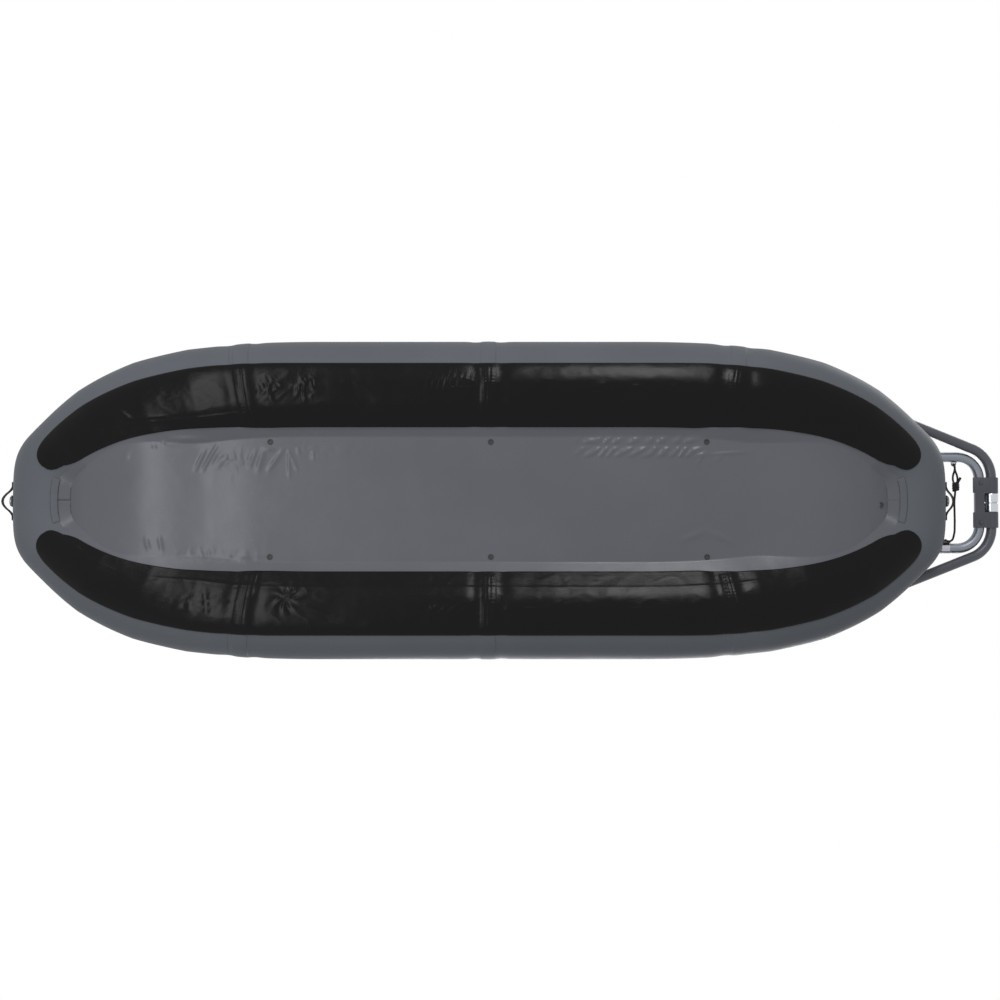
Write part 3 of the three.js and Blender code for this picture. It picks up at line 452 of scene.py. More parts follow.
def arc(centre, radius, start, end, steps):
    """Points of an arc in a plane, with its angles in degrees."""
    turns = [radians(angle) for angle in evenly(start, end, steps)]
    return [(centre[0] + radius * cos(turn), centre[1] + radius * sin(turn)) for turn in turns]


def moved(bm, matrix):
    bmesh.ops.transform(bm, matrix=matrix, verts=bm.verts)
    return bm


def fillet(corners, radii):
    """The points of a line that bends round its corners with the given radii."""
    line = [Vector(corners[0])]
    for before, corner, after, radius in zip(corners, corners[1:], corners[2:], radii):
        before, corner, after = Vector(before), Vector(corner), Vector(after)
        into = (corner - before).normalized()
        out = (after - corner).normalized()
        turn = into.angle(out)
        side = (out - into * cos(turn)).normalized()
        start = corner - into * radius * tan(turn / 2)
        for angle in evenly(0, turn, max(3, round(BEND_STEPS * turn / (pi / 2)))):
            line.append(start + into * radius * sin(angle) + side * radius * (1 - cos(angle)))
    line.append(Vector(corners[-1]))
    return line


def mirrored(points):
    return [Vector((x, -y, z)) for x, y, z in reversed(points)]


def tubing(points, radius, sides):
    """A round bar along a line, closed at both ends."""
    line = bpy.data.curves.new("line", "CURVE")
    line.dimensions = "3D"
    spline = line.splines.new("POLY")
    spline.points.add(len(points) - 1)
    for point, place in zip(spline.points, points):
        point.co = (*place, 1)
    line.bevel_depth = radius
    line.bevel_resolution = sides // 4
    line.use_fill_caps = True
    holder = bpy.data.objects.new("line", line)
    bm = bmesh.new()
    bm.from_mesh(holder.to_mesh())
    holder.to_mesh_clear()
    bpy.data.objects.remove(holder)
    bpy.data.curves.remove(line)
    return bm


def spun(profile, steps, place):
    """A profile of radius and height spun round Z, then set in its place."""
    bm = bmesh.new()
    verts = [bm.verts.new((radius, 0, height)) for radius, height in profile]
    edges = [bm.edges.new(pair) for pair in zip(verts, verts[1:])]
    turn = {"cent": (0, 0, 0), "axis": (0, 0, 1), "angle": tau, "steps": steps, "use_merge": True}
    bmesh.ops.spin(bm, geom=verts + edges, **turn)
    bmesh.ops.remove_doubles(bm, verts=bm.verts, dist=MERGE)
    return moved(bm, place)


def ring(inside, outside, low, high, rim=0.001):
    """The profile of a collar between two heights, with its outer rims cut back."""
    profile = [(inside, low), (outside - rim, low), (outside, low + rim), (outside, high - rim)]
    return profile + [(outside - rim, high), (inside, high), (inside, low)]


def capped(bm):
    """The same sheet, rolled into a pipe, with its seam merged and its ends closed."""
    bmesh.ops.remove_doubles(bm, verts=bm.verts, dist=MERGE)
    bmesh.ops.holes_fill(bm, edges=[edge for edge in bm.edges if edge.is_boundary], sides=0)
    return bm


def added(*parts):
    """Several bmeshes as one."""
    whole = bmesh.new()
    for part in parts:
        holder = bpy.data.meshes.new("part")
        part.to_mesh(holder)
        part.free()
        whole.from_mesh(holder)
        bpy.data.meshes.remove(holder)
    return whole


def from_node(node):
    """A merged copy of a plain solid, with its triangles joined up again."""
    bm = bmesh.new()
    bm.from_mesh(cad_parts[node].data)
    bmesh.ops.remove_doubles(bm, verts=bm.verts, dist=1e-5)
    bmesh.ops.dissolve_limit(bm, angle_limit=radians(1), verts=bm.verts, edges=bm.edges)
    return bm


def softened(bm, width, sharper_than=35, segments=2):
    """The same body with its sharp edges rounded."""
    limit = radians(sharper_than)
    edges = [edge for edge in bm.edges if edge.is_manifold and edge.calc_face_angle(0) > limit]
    rounding = {"affect": "EDGES", "segments": segments, "profile": 0.5, "material": -1}
    bmesh.ops.bevel(bm, geom=edges, offset=width, clamp_overlap=True, **rounding)
    return bm


def facing(place, axis):
    """The matrix that sets something made along Z at a place, along an axis."""
    turn = Vector((0, 0, 1)).rotation_difference(Vector(axis))
    return Matrix.Translation(Vector(place)) @ turn.to_matrix().to_4x4()


SIDES = (("port", 1), ("starboard", -1))

# %% The lanyard's knot
KNOT_LENGTH = 0.032
KNOT_TURNS = 3.5


def lanyard_knot():
    """The end wraps round the standing part, and a short tail comes out beside the loop."""
    centre = Vector(KNOT)
    wraps = []
    for share in evenly(0, 1, 56):
        turn = share * KNOT_TURNS * tau
        radius = 0.0092 + 0.0012 * sin(share * pi)
        along = (share - 0.5) * KNOT_LENGTH
        wraps.append(centre + Vector((radius * cos(turn), along, radius * sin(turn))))
    tail = [(-1.970, 0.085, 0.562), (-1.976, 0.094, 0.564), (-1.981, 0.104, 0.562)]
    line = drawn_through(wraps[::2] + tail, 4)
    line = [place + Vector((MIDDLE_X, 0, 0)) for place in line]
    return piece("lanyard_knot", tubing(line, CORD * 0.62, 12), cord_braid)


lanyard_cord.data.materials.append(cord_braid[1])
knot = lanyard_knot()

# %% [markdown]
# ## The hull's lines
#
# Everything soft on this raft lies on one form: a tube that runs round in a ring, with its ends drawn
# in and raised. A distance along the ring and an angle round the tube name any point on it. Panels,
# seams, patches and handles can then all be laid by the same two numbers.

# %% The tube ring as a form
HALF_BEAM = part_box("port_fore_tube")[1].y
TUBE_RADIUS = 0.190
TUBE_RADIUS_AT_ENDS = 0.175
INNER_HALF_BEAM = HALF_BEAM - 2 * TUBE_RADIUS
GAP = 0.0003
PATCH_THICKNESS = 0.003
FLAT_UNDER = radians(8)
EQUATOR = (TUBE_RADIUS + GAP + PATCH_THICKNESS) * cos(FLAT_UNDER)
ROCKER_START = 0.9
ROCKER_RISE = 0.160
SHOULDER_END = 0.600
OUTER_CORNER = (1.6995, 0.3362)
INNER_CORNER = (1.453, 0.068)
OUTER_END = [(HALF_LENGTH, 0), (HALF_LENGTH, 0.194), (1.847, 0.2042), OUTER_CORNER]
OUTER_SHOULDER = [OUTER_CORNER, (1.448, 0.5593), (1.168, HALF_BEAM), (SHOULDER_END, HALF_BEAM)]
INNER_END = [(1.510, 0), (1.510, 0.035), (1.480, 0.050), INNER_CORNER]
INNER_SHOULDER = [INNER_CORNER, (1.310, 0.175), (1.055, INNER_HALF_BEAM), (SHOULDER_END, INNER_HALF_BEAM)]
END_SHARE = 0.3
SHOULDER_SHARE = 0.6


def bezier(points, share):
    a, b, c, d = [Vector(point) for point in points]
    rest = 1 - share
    return a * rest**3 + b * 3 * share * rest**2 + c * 3 * share**2 * rest + d * share**3


def smoothstep(value, low, high):
    share = min(1.0, max(0.0, (value - low) / (high - low)))
    return share * share * (3 - 2 * share)


def mix(first, second, share):
    return first + (second - first) * share


class Station:
    """The tube's section at one place: 0 is the bow's middle, 1 is midships, 2 is the stern's middle."""

    def __init__(self, place):
        along = abs(place)
        quarter = min(along, 2 - along)
        shoulder = (quarter - END_SHARE) / SHOULDER_SHARE
        if shoulder < 0:
            outer = bezier(OUTER_END, quarter / END_SHARE)
            inner = bezier(INNER_END, quarter / END_SHARE)
        elif shoulder < 1:
            outer = bezier(OUTER_SHOULDER, shoulder)
            inner = bezier(INNER_SHOULDER, shoulder)
        else:
            straight = SHOULDER_END * (1 - quarter) / (1 - END_SHARE - SHOULDER_SHARE)
            outer = Vector((straight, HALF_BEAM))
            inner = Vector((straight, INNER_HALF_BEAM))
        rise = max(0.0, (outer.x - ROCKER_START) / (HALF_LENGTH - ROCKER_START)) ** 2
        flip = Vector((-1 if along > 1 else 1, -1 if place < 0 else 1))
        outer, inner = outer * flip, inner * flip
        middle = (outer + inner) / 2
        self.outward = (outer - inner).normalized().to_3d()
        self.half_width = (outer - inner).length / 2
        self.half_height = mix(TUBE_RADIUS, TUBE_RADIUS_AT_ENDS, rise)
        self.centre = Vector((MIDDLE_X + middle.x, middle.y, EQUATOR + ROCKER_RISE * rise))
        self.inner = Vector((MIDDLE_X + inner.x, inner.y))
        self.web = 1 - smoothstep(abs(middle.x), 1.050, 1.516)
        self.quarter = quarter


all_places = np.linspace(0, 2, 1601)
centres = np.array([Station(place).centre for place in all_places])
steps_between = np.linalg.norm(np.diff(centres, axis=0), axis=1)
all_distances = np.concatenate([[0], np.cumsum(steps_between)])
HALF_RING = float(all_distances[-1])


@lru_cache(maxsize=None)
def station(distance):
    """The section at a distance along the ring from the bow's middle, to port or, below 0, to starboard."""
    wrapped = distance if distance <= HALF_RING else distance - 2 * HALF_RING
    place = float(np.interp(abs(wrapped), all_distances, all_places))
    return Station(copysign(place, wrapped))


def distance_of(x):
    """The distance along the port side to a tube centre at x."""
    return float(np.interp(-x, -centres[:, 0], all_distances))


def distance_to(place):
    return float(np.interp(place, all_places, all_distances))


def zones_along(stretches):
    """Stretches of X, from the raft's middle, as stretches of distance along the ring."""
    return [(distance_of(MIDDLE_X + high), distance_of(MIDDLE_X + low)) for low, high in stretches]


print("each side of the ring is", round(HALF_RING, 2), "m long")

# %% Points on the tube and under the hull
CREASE = radians(28.7)
CREASE_AT_ENDS = radians(12)
WEB_LENGTH = 0.110
WEB_LENGTH_AT_ENDS = 0.062


def on_tube(distance, angle, lift=0.0):
    """A point on the tube. The angle runs inboard from the lowest line, which is 0."""
    at = station(distance)
    inboard, down = -at.outward * sin(angle), Vector((0, 0, -cos(angle)))
    normal = (inboard * at.half_height + down * at.half_width).normalized()
    return at.centre + inboard * at.half_width + down * at.half_height + normal * lift


def crease(at):
    return mix(CREASE_AT_ENDS, CREASE, at.web)


def web_length(at):
    return mix(WEB_LENGTH_AT_ENDS, WEB_LENGTH, at.web)


def on_web(distance, reach, lift=0.0):
    """A point on the web that leaves the tube at the crease and runs up to the flat floor."""
    at = station(distance)
    angle = crease(at)
    along = -at.outward * at.half_width * cos(angle)
    along.z = at.half_height * sin(angle)
    return on_tube(distance, angle, lift) + along.normalized() * reach


def under_hull(distance, offset, lift=0.0):
    """A point under the hull, by its distance outboard of the tube's middle, seen in plan."""
    at = station(distance)
    edge = -at.half_width * sin(crease(at))
    if offset >= edge:
        return on_tube(distance, asin(max(-1, min(1, -offset / at.half_width))), lift)
    flat = at.half_width * cos(crease(at))
    slant = hypot(flat, at.half_height * sin(crease(at))) / flat
    return on_web(distance, (edge - offset) * slant, lift)

# %% [markdown]
# ## Tubes
#
# A real tube is a set of flat panels, cut, rolled and glued into a pipe, and joined end to end with
# tape over each joint. Here each panel is a grid rolled round the form. The glued tape can't stretch
# when the air goes in, so the tube draws in by a millimetre or two beside each one.

# %% Where the joints and tapes are
JOINTS_X = {"bow": 0.927, "midships": -0.031, "stern": -0.985}
TAPES_X = {"bow": 0.886, "midships": -0.038, "stern": -0.966}
JOINTS = {name: distance_of(MIDDLE_X + x) for name, x in JOINTS_X.items()}
TAPES = {name: distance_of(MIDDLE_X + x) for name, x in TAPES_X.items()}
TAPE_WIDTH = 0.058
TAPE_THICKNESS = 0.0008
PUCKERS = 0.0004
PINCH = 0.0024
PINCH_AWAY = 0.050
PINCH_REACH = 0.024
END_SEAMS = [0.16, 0.38, 0.60, 0.80]
GORE_HALF = 0.11
GORE_FLATNESS = 0.0022


def from_end(distance):
    """The distance along the ring from the nearer end of the raft."""
    return min(abs(distance), HALF_RING * 2 - abs(distance), abs(HALF_RING - abs(distance)))


def pinch(distance):
    """How far the tube draws in beside its tapes, and lies flat between the seams of its ends."""
    near = min(abs(abs(distance) - tape) for tape in TAPES.values())
    beside = exp(-(((near - PINCH_AWAY) / PINCH_REACH) ** 2))
    to_seam = min(abs(from_end(distance) - seam) for seam in END_SEAMS)
    return -PINCH * beside - GORE_FLATNESS * (1 - min(1.0, (to_seam / GORE_HALF - 1) ** 2))


# %% Tube panels and the tapes over their joints
def tube_panel(name, node, start, end, columns):
    def shape(distance, angle):
        return on_tube(distance, angle, pinch(distance))

    bm = capped(cloth(evenly(start, end, columns), evenly(-pi, pi, 72), shape))
    return piece(name, bm, hull_cloth, node)


def tape_band(name, middle):
    """A tape wrapped once round the tube, with small puckers along its rims, which are pressed down."""
    def shape(distance, angle):
        rim = abs(distance - middle) / (TAPE_WIDTH / 2)
        pucker = PUCKERS * rim**3 * sin(angle * 90 + 3 * sin(angle * 7))
        glued = TAPE_THICKNESS / 2 + GAP - (TAPE_THICKNESS + GAP) * rim**6
        return on_tube(distance, angle, pinch(distance) + glued + pucker)

    columns = evenly(middle - TAPE_WIDTH / 2, middle + TAPE_WIDTH / 2, 14)
    bm = cloth(columns, evenly(-pi, pi, 288), shape)
    return piece(name, bm, tape_cloth, thickness=TAPE_THICKNESS)


tube_panel("bow_tube", "bow_section", -JOINTS["bow"] + GAP, JOINTS["bow"] - GAP, 260)
stern_start = JOINTS["stern"] + GAP
tube_panel("stern_tube_end", "stern_section", stern_start, 2 * HALF_RING - stern_start, 250)
for side_name, side in SIDES:
    for half, start, end in (("fore", "bow", "midships"), ("aft", "midships", "stern")):
        ends = sorted([side * (JOINTS[start] + GAP), side * (JOINTS[end] - GAP)])
        tube_panel(f"{side_name}_{half}_panel", f"{side_name}_{half}_tube", *ends, 120)
    for joint, distance in TAPES.items():
        tape_band(f"{side_name}_{joint}_tape", side * distance)
print("six tube panels and their tapes")

# %% [markdown]
# ## Wear patches
#
# A long layer of thick black vinyl is glued under each side, over the tube, the crease and part of the
# web. It shows every joint below it as a ribbed band, and it has crumples where it didn't lie flat.
# Each fold is a soft ridge between two places seen in plan, so that it can be put where the photograph
# shows it. The grid is finer where there is more to show.

# %% Folds in plan
FADED = 6  # an exponent past which a bump is as good as nothing
FOLD_REACH = 0.20


def in_metres(rows):
    """A table of millimetres."""
    return [[value / 1000 for value in row] for row in rows]


def ridge(x, y, fold):
    """A soft ridge from one place to another: full height on its line, fading at its ends and sides."""
    start_x, start_y, end_x, end_y, width, height = fold
    along_x, along_y = end_x - start_x, end_y - start_y
    length = along_x * along_x + along_y * along_y
    share = min(1.0, max(0.0, ((x - start_x) * along_x + (y - start_y) * along_y) / length))
    away_x = x - start_x - along_x * share
    away_y = y - start_y - along_y * share
    away = (away_x * away_x + away_y * away_y) / (width * width)
    if away > FADED:
        return 0.0
    return height * sin(pi * mix(0.08, 0.92, share)) * exp(-away)


def spot(x, y, centre_x, centre_y, reach_x, reach_y):
    """1 at a spot's centre, fading to nothing over its reach along and across."""
    away = ((x - centre_x) / reach_x) ** 2 + ((y - centre_y) / reach_y) ** 2
    return exp(-away) if away < FADED else 0.0


def folds_at(x, y, folds):
    """The height of all folds near a place, on its own side of the raft."""
    return sum(ridge(x, y, fold) for fold in folds if abs(x - fold[0]) < FOLD_REACH and y * fold[1] > 0)


def creases(place, sharpness):
    """Sharp little creases: noise folded back on itself, 1 on a crease and 0 away from it."""
    return 1 - min(1.0, abs(noise.noise(place)) * sharpness)


# %% Where the patches are creased
# The rows are in millimetres. A crumple is a centre, its reach along and across, and its depth. A fold
# is its two ends, its width and its height.
CRUMPLES = in_metres([
    (790, 412, 45, 32, 4),
    (655, 418, 36, 34, 4.2),
    (440, 440, 110, 10, 1),
    (1060, -400, 110, 34, 1.8),
    (1190, 400, 90, 35, 1.4),
    (127, -410, 80, 16, 2.2),
    (-112, -412, 30, 14, 2.2),
    (-302, -408, 48, 18, 2.4),
    (-416, -400, 18, 18, 2),
    (-602, -408, 24, 20, 2.6),
    (-678, -408, 22, 16, 2),
    (-819, -400, 24, 20, 1.4),
    (-469, 420, 18, 16, 3.2),
    (-595, 418, 16, 14, 2.4),
    (-747, 415, 20, 16, 3.4),
    (-834, 407, 14, 12, 2),
    (-770, 358, 42, 36, 1.8),
    (-1140, 410, 80, 30, 1.4),
    (-1200, -372, 80, 25, 1.6),
])
GATHERS_AT = (0.100, 0.440, 0.105, 0.028)
GATHERS_DEPTH = 0.0007
GATHERS_PITCH = 0.024
STAR_AT = (0.720, -0.374)
STAR_REACH = 0.042
STAR_POINTS = 7
STAR_DEPTH = 0.0030
PATCH_FOLDS = in_metres([
    (1376, 344, 1322, 304, 7, 4),
    (1322, 304, 1180, 318, 5, 1.6),
    (1028, -340, 1018, -440, 6, 3.6),
    (1086, -377, 1088, -425, 6, 2.4),
    (1015, -388, 930, -388, 7, 2),
    (1330, -392, 1255, -398, 5, 1.4),
    (205, 416, 0, 418, 5, 1.8),
    (360, -362, 190, -360, 5, 1.4),
    (600, 446, 260, 444, 4, 0.9),
    (590, -384, 330, -380, 5, 0.9),
    (560, -398, 300, -400, 4, 1.4),
    (-140, -412, -260, -410, 4, 1.4),
    (-540, -412, -660, -412, 4, 1.4),
    (-469, 408, -471, 374, 4, 1.4),
    (-600, 408, -602, 380, 4, 1.2),
    (-380, 392, -384, 352, 4, 1),
    (-745, 404, -760, 330, 5, 1.6),
    (-1110, 420, -1150, 398, 5, 1.6),
    (-1198, -358, -1204, -382, 5, 1.8),
])
CREASE_LINE = 0.004
CREASE_HEIGHT = 0.0014
BAND_HEIGHT = 0.0007
BAND_EDGE = 0.002
RIBS = 0.012
RIB_COLUMNS = (-0.014, 0.014)
RIB_HALF = 0.006
RIB_HEIGHT = 0.0016
JOINT_HALF = 0.003
JOINT_HEIGHT = 0.0012


def joint_relief(distance, around):
    """The tape seen through the patch: a raised band, two columns of ribs and the joint's own line."""
    height = 0.0
    for tape in TAPES.values():
        away = abs(distance) - tape
        if abs(away) < TAPE_WIDTH:
            height += BAND_HEIGHT * (1 - smoothstep(abs(away) - TAPE_WIDTH / 2, -BAND_EDGE, BAND_EDGE))
            wander = noise.noise(Vector((tape * 9, around * 20, 0)))
            ribs = 0.5 + 0.5 * sin(around / RIBS * tau + 4 * wander)
            patchy = 0.3 + smoothstep(noise.noise(Vector((tape * 5, around * 12, 3))), -0.2, 0.25)
            for column in RIB_COLUMNS:
                height += RIB_HEIGHT * ribs * patchy * exp(-(((away - column) / RIB_HALF) ** 2))
            height += JOINT_HEIGHT * exp(-((away / JOINT_HALF) ** 2))
    return height


def crumpled(x, y, side):
    depth = sum(row[4] * spot(x, y, *row[:4]) for row in CRUMPLES)
    if not depth:
        return 0.0
    place = Vector((x * 26, y * 30, 7 * side))
    turned = noise.noise(place * 0.5)
    return depth * creases(place + Vector((turned, -turned, 0)) * 2, 3)


def gathered(x, y):
    """Small even waves across the patch, leaning a little."""
    lean = x + 0.2 * (y - GATHERS_AT[1])
    wander = 2 * noise.noise(Vector((x * 14, y * 9, 0)))
    return GATHERS_DEPTH * spot(x, y, *GATHERS_AT) * cos(lean / GATHERS_PITCH * tau + wander)


def star(x, y):
    """Folds that run out from one place, curling as they go."""
    out_x, out_y = x - STAR_AT[0], y - STAR_AT[1]
    far = hypot(out_x, out_y) / STAR_REACH
    if far > 2:
        return 0.0
    rays = cos(STAR_POINTS * atan2(out_y, out_x) + 2.5 * far + 0.6)
    return STAR_DEPTH * rays * min(1.0, far * 2.5) * exp(-(far**2))


def patch_relief(x, y, side):
    """Slow waves all along, and the crumples and folds where they are."""
    waves = creases(Vector((x * 9, y * 16, 5 * side)), 4) ** 2
    local = crumpled(x, y, side) + gathered(x, y) + star(x, y)
    return 0.0005 * waves + local + folds_at(x, y, PATCH_FOLDS)


def crease_relief(distance, offset, side):
    """The floor's glued edge, a fine line under the patch along the crease."""
    at = station(distance)
    away = (offset + at.half_width * sin(crease(at))) / CREASE_LINE
    shows = mix(0.4, 1.0, smoothstep(noise.noise(Vector((distance * 3, side, 0))), -0.1, 0.3))
    return CREASE_HEIGHT * shows * exp(-away * away) if abs(away) < 3 else 0.0


# %% Wear patches
PATCH_OUTBOARD = 0.088
PATCH_OUTBOARD_AT_SHOULDER = 0.098
PATCH_INBOARD = 0.150
PATCH_INBOARD_AT_TIP = 0.040
PATCH_TIP = 0.15
PATCH_TIP_LENGTH = 0.13
PATCH_TIP_MIDDLE = 0.010
PATCH_FULL = 0.8
PATCH_TAPER = 0.22
FINE_ZONES = [(0.600, 0.880), (-0.010, 0.210)]
PATCH_STEP = 0.0095
PATCH_FINE_STEP = 0.0036
PATCH_ROWS = 68


def patch_edges(distance):
    """The outboard and inboard edge of a wear patch, in plan, from the tube's middle."""
    quarter = station(distance).quarter
    from_tip = min(1.0, max(0.0, (quarter - PATCH_TIP) / PATCH_TIP_LENGTH))
    taper = min(1.0, max(0.0, (quarter - PATCH_TAPER) / (PATCH_FULL - PATCH_TAPER))) ** 0.75
    inboard = -mix(PATCH_INBOARD_AT_TIP, PATCH_INBOARD, taper)
    outboard = mix(PATCH_OUTBOARD_AT_SHOULDER, PATCH_OUTBOARD, smoothstep(quarter, 0.7, 0.9))
    rounded = sqrt(1 - (1 - from_tip) ** 2)
    return mix(PATCH_TIP_MIDDLE, outboard, rounded), mix(PATCH_TIP_MIDDLE, inboard, rounded)


def wear_patch(side_name, side):
    tips = [distance_to(PATCH_TIP), distance_to(2 - PATCH_TIP)]
    zones = [(tape - 0.040, tape + 0.040) for tape in TAPES.values()] + zones_along(FINE_ZONES)
    zones += [(tips[0], tips[0] + 0.06), (tips[1] - 0.06, tips[1])]
    columns = closer_in(zones, *tips, PATCH_STEP, PATCH_FINE_STEP)

    def shape(distance, share):
        outboard, inboard = patch_edges(distance)
        offset = mix(outboard, inboard, share)
        lift = GAP + PATCH_THICKNESS / 2 + pinch(distance)
        flat = under_hull(side * distance, offset, lift)
        rim = min(share, 1 - share) * (outboard - inboard)
        end = min(distance - tips[0], tips[1] - distance)
        loose = smoothstep(rim, 0.004, 0.022) * smoothstep(end, 0, 0.05)
        relief = joint_relief(distance, offset) + patch_relief(flat.x - MIDDLE_X, flat.y, side)
        relief += crease_relief(distance, offset, side)
        return under_hull(side * distance, offset, lift + loose * relief)

    bm = cloth(columns, evenly(0, 1, PATCH_ROWS), shape)
    bmesh.ops.remove_doubles(bm, verts=bm.verts, dist=2e-5)
    print(side_name, "wear patch of", len(columns), "columns")
    name, node = f"{side_name}_wear_layer", f"{side_name}_wear_patch"
    return piece(name, bm, patch_cloth, node, sharp=70, thickness=PATCH_THICKNESS)


for side_name, side in SIDES:
    wear_patch(side_name, side)

# %% [markdown]
# ## Bottom skin
#
# The skin is a thin sheet glued to both webs. The floor panel above holds it nearly flat. Near the bow
# and along the port web aft it has cloth to spare, which gathers into small folds. A strip of tape
# covers its glued edge at each end.

# %% Where the skin is creased
# The rows are in millimetres, as for the patches.
SKIN_FOLDS = in_metres([
    (1083, 111, 1044, 189, 6, 2.4),
    (1055, 111, 998, 206, 6, 3),
    (1019, 129, 976, 180, 8, 1.6),
    (985, 120, 930, 165, 9, 1.6),
    (938, 80, 912, 92, 5, -1.6),
    (875, 122, 847, 189, 7, 2.2),
    (842, 111, 819, 189, 10, 3),
    (820, 190, 784, 190, 7, 2.6),
    (802, 111, 746, 189, 7, 2.8),
    (724, 184, 721, 89, 5, 2.4),
    (724, 184, 690, 111, 5, 2.4),
    (688, 196, 687, 176, 5, 1.6),
    (629, 151, 631, 184, 5, 2),
    (1357, 140, 1340, 184, 6, 2),
    (1240, 206, 1236, 196, 7, 1.6),
    (1206, 222, 1200, 212, 7, 1.6),
    (1175, 229, 1035, 231, 10, 2.2),
    (1175, 205, 1040, 203, 6, -1.2),
    (1268, -147, 1256, -192, 7, 2.4),
    (1217, -141, 1206, -197, 7, 2.2),
    (914, -211, 802, -220, 4, 2.2),
    (945, -214, 875, -232, 10, 2.4),
    (-832, 133, -855, 168, 5, 2.6),
    (-873, 171, -1042, 182, 5, 2.6),
    (-902, 145, -931, 168, 6, 1.8),
    (-1060, 214, -1066, 206, 7, 1.6),
    (-1118, 206, -1122, 196, 6, 1.4),
    (-1199, 196, -1201, 184, 5, 1.4),
    (-767, -160, -867, -119, 12, 2.6),
    (-867, -119, -972, -166, 12, 2.6),
    (-1048, -210, -1054, -210, 6, 1),
    (-1124, -210, -1130, -210, 6, 1),
])
SKIN_CRUMPLES = in_metres([
    (1000, -215, 130, 24, 2.2),
    (930, 150, 60, 40, 1.6),
    (560, 180, 150, 30, 1),
])
SKIN_FOLDS_DEEPER = 1.3
SKIN_WAVES = 0.0012
GATHERED_FROM = -0.360
GATHERED_TO = -0.860
GATHER_ROWS = [(0.226, 0.012, 0.9, 0.056), (0.180, 0.018, 1.1, 0.0448)]  # middle, half width, slant, pitch


def gathered_edge(x, y):
    """Two rows of slanting folds in the skin along the port web, aft of midships."""
    here = smoothstep(x, GATHERED_TO - 0.03, GATHERED_TO + 0.03)
    here *= 1 - smoothstep(x, GATHERED_FROM - 0.06, GATHERED_FROM + 0.02)
    height = 0.0
    wander = 0.7 * noise.noise(Vector((x * 12, y * 9, 1)))
    rough = 0.0014 * noise.noise(Vector((x * 30, y * 40, 6)))
    for middle, half, slant, pitch in GATHER_ROWS:
        wave = cos(((x + slant * y) / pitch + wander) * tau)
        height += exp(-(((y - middle) / half) ** 4)) * (0.0030 + 0.0026 * wave + rough)
    return here * height


def skin_relief(x, y):
    crumples = sum(row[4] * spot(x, y, *row[:4]) for row in SKIN_CRUMPLES)
    height = crumples * creases(Vector((x * 32, y * 22, 2)), 3) + gathered_edge(x, y)
    height += SKIN_FOLDS_DEEPER * folds_at(x, y, SKIN_FOLDS)
    return height + SKIN_WAVES * noise.noise(Vector((x * 3, y * 5, 0)))


# %% Bottom skin
SKIN_THICKNESS = 0.003
SKIN_SHOWN = 0.0024  # of its thickness, so that a fold stays inside it
SKIN_LIFT = 0.0015
GLUED_FROM = 0.008
SKIN_ZONES = [(0.600, 1.370), (-1.060, -0.360)]
SKIN_STEP = 0.011
SKIN_FINE_STEP = 0.0052
WEB_SHARE = 0.3
MIDDLE_SHARE = 0.3


def bottom_skin():
    start = 0.0005
    end = HALF_RING - start
    columns = closer_in(zones_along(SKIN_ZONES), start, end, SKIN_STEP, SKIN_FINE_STEP)
    half = evenly(1, 1 - WEB_SHARE, 14) + evenly(1 - WEB_SHARE, MIDDLE_SHARE, 28)[1:]
    half += evenly(MIDDLE_SHARE, 0, 6)[1:]
    rows = half + [-share for share in half[-2::-1]]

    def shape(distance, across):
        side = 1 if across >= 0 else -1
        share = abs(across)
        edge = on_web(side * distance, web_length(station(distance)), -SKIN_LIFT)
        if share > 1 - WEB_SHARE:
            glued = on_web(side * distance, GLUED_FROM, -SKIN_LIFT)
            point = edge.lerp(glued, (share - 1 + WEB_SHARE) / WEB_SHARE)
        else:
            point = Vector((edge.x, edge.y * share / (1 - WEB_SHARE), edge.z))
        soft = smoothstep(1 - share, 0.02, 0.14)
        point.z += SKIN_THICKNESS / 2 - soft * skin_relief(point.x - MIDDLE_X, point.y)
        return point

    bm = cloth(columns, rows, shape)
    print("bottom skin of", len(columns), "by", len(rows))
    return piece("floor_skin", bm, skin_cloth, "bottom_skin", sharp=70, thickness=SKIN_SHOWN)


bottom_skin()

# %% Tape over the skin's glued ends
NOSE_TAPE_REACH = 0.100
NOSE_TAPE_HALF = 0.014


def nose_tape(name, end):
    """A strip across one end, half on the tube and half on the skin, with its rims pressed down."""
    def shape(along, across):
        distance = end + along
        at = station(distance)
        edge = -at.half_width * sin(crease(at))
        rim = max(abs(across) / NOSE_TAPE_HALF, abs(along) / NOSE_TAPE_REACH)
        pucker = PUCKERS * noise.noise(Vector((along * 60, across * 30, end)))
        return under_hull(distance, edge + across, 0.0028 + pucker - 0.0026 * rim**8)

    columns = evenly(-NOSE_TAPE_REACH, NOSE_TAPE_REACH, 90)
    bm = cloth(columns, evenly(-NOSE_TAPE_HALF, NOSE_TAPE_HALF, 10), shape)
    return piece(name, bm, tape_cloth, thickness=0.001)


nose_tape("bow_skin_tape", 0.0)
nose_tape("stern_skin_tape", HALF_RING)

# %% Drain holes
DRAIN_RADIUS = 0.009
DRAIN_Y = 0.219
DRAINS_X = [MIDDLE_X + x for x in (0.794, -0.047, -0.870)]
STERN_DRAIN_AT = (MIDDLE_X - 1.556, -0.019)


def skin_height(x):
    """Underside of the flat floor at x."""
    low, high = 0.0, HALF_RING
    for _ in range(30):
        middle = (low + high) / 2
        reach = web_length(station(middle))
        if on_web(middle, reach).x > x:
            low = middle
        else:
            high = middle
    return on_web(low, web_length(station(low)), -SKIN_LIFT).z


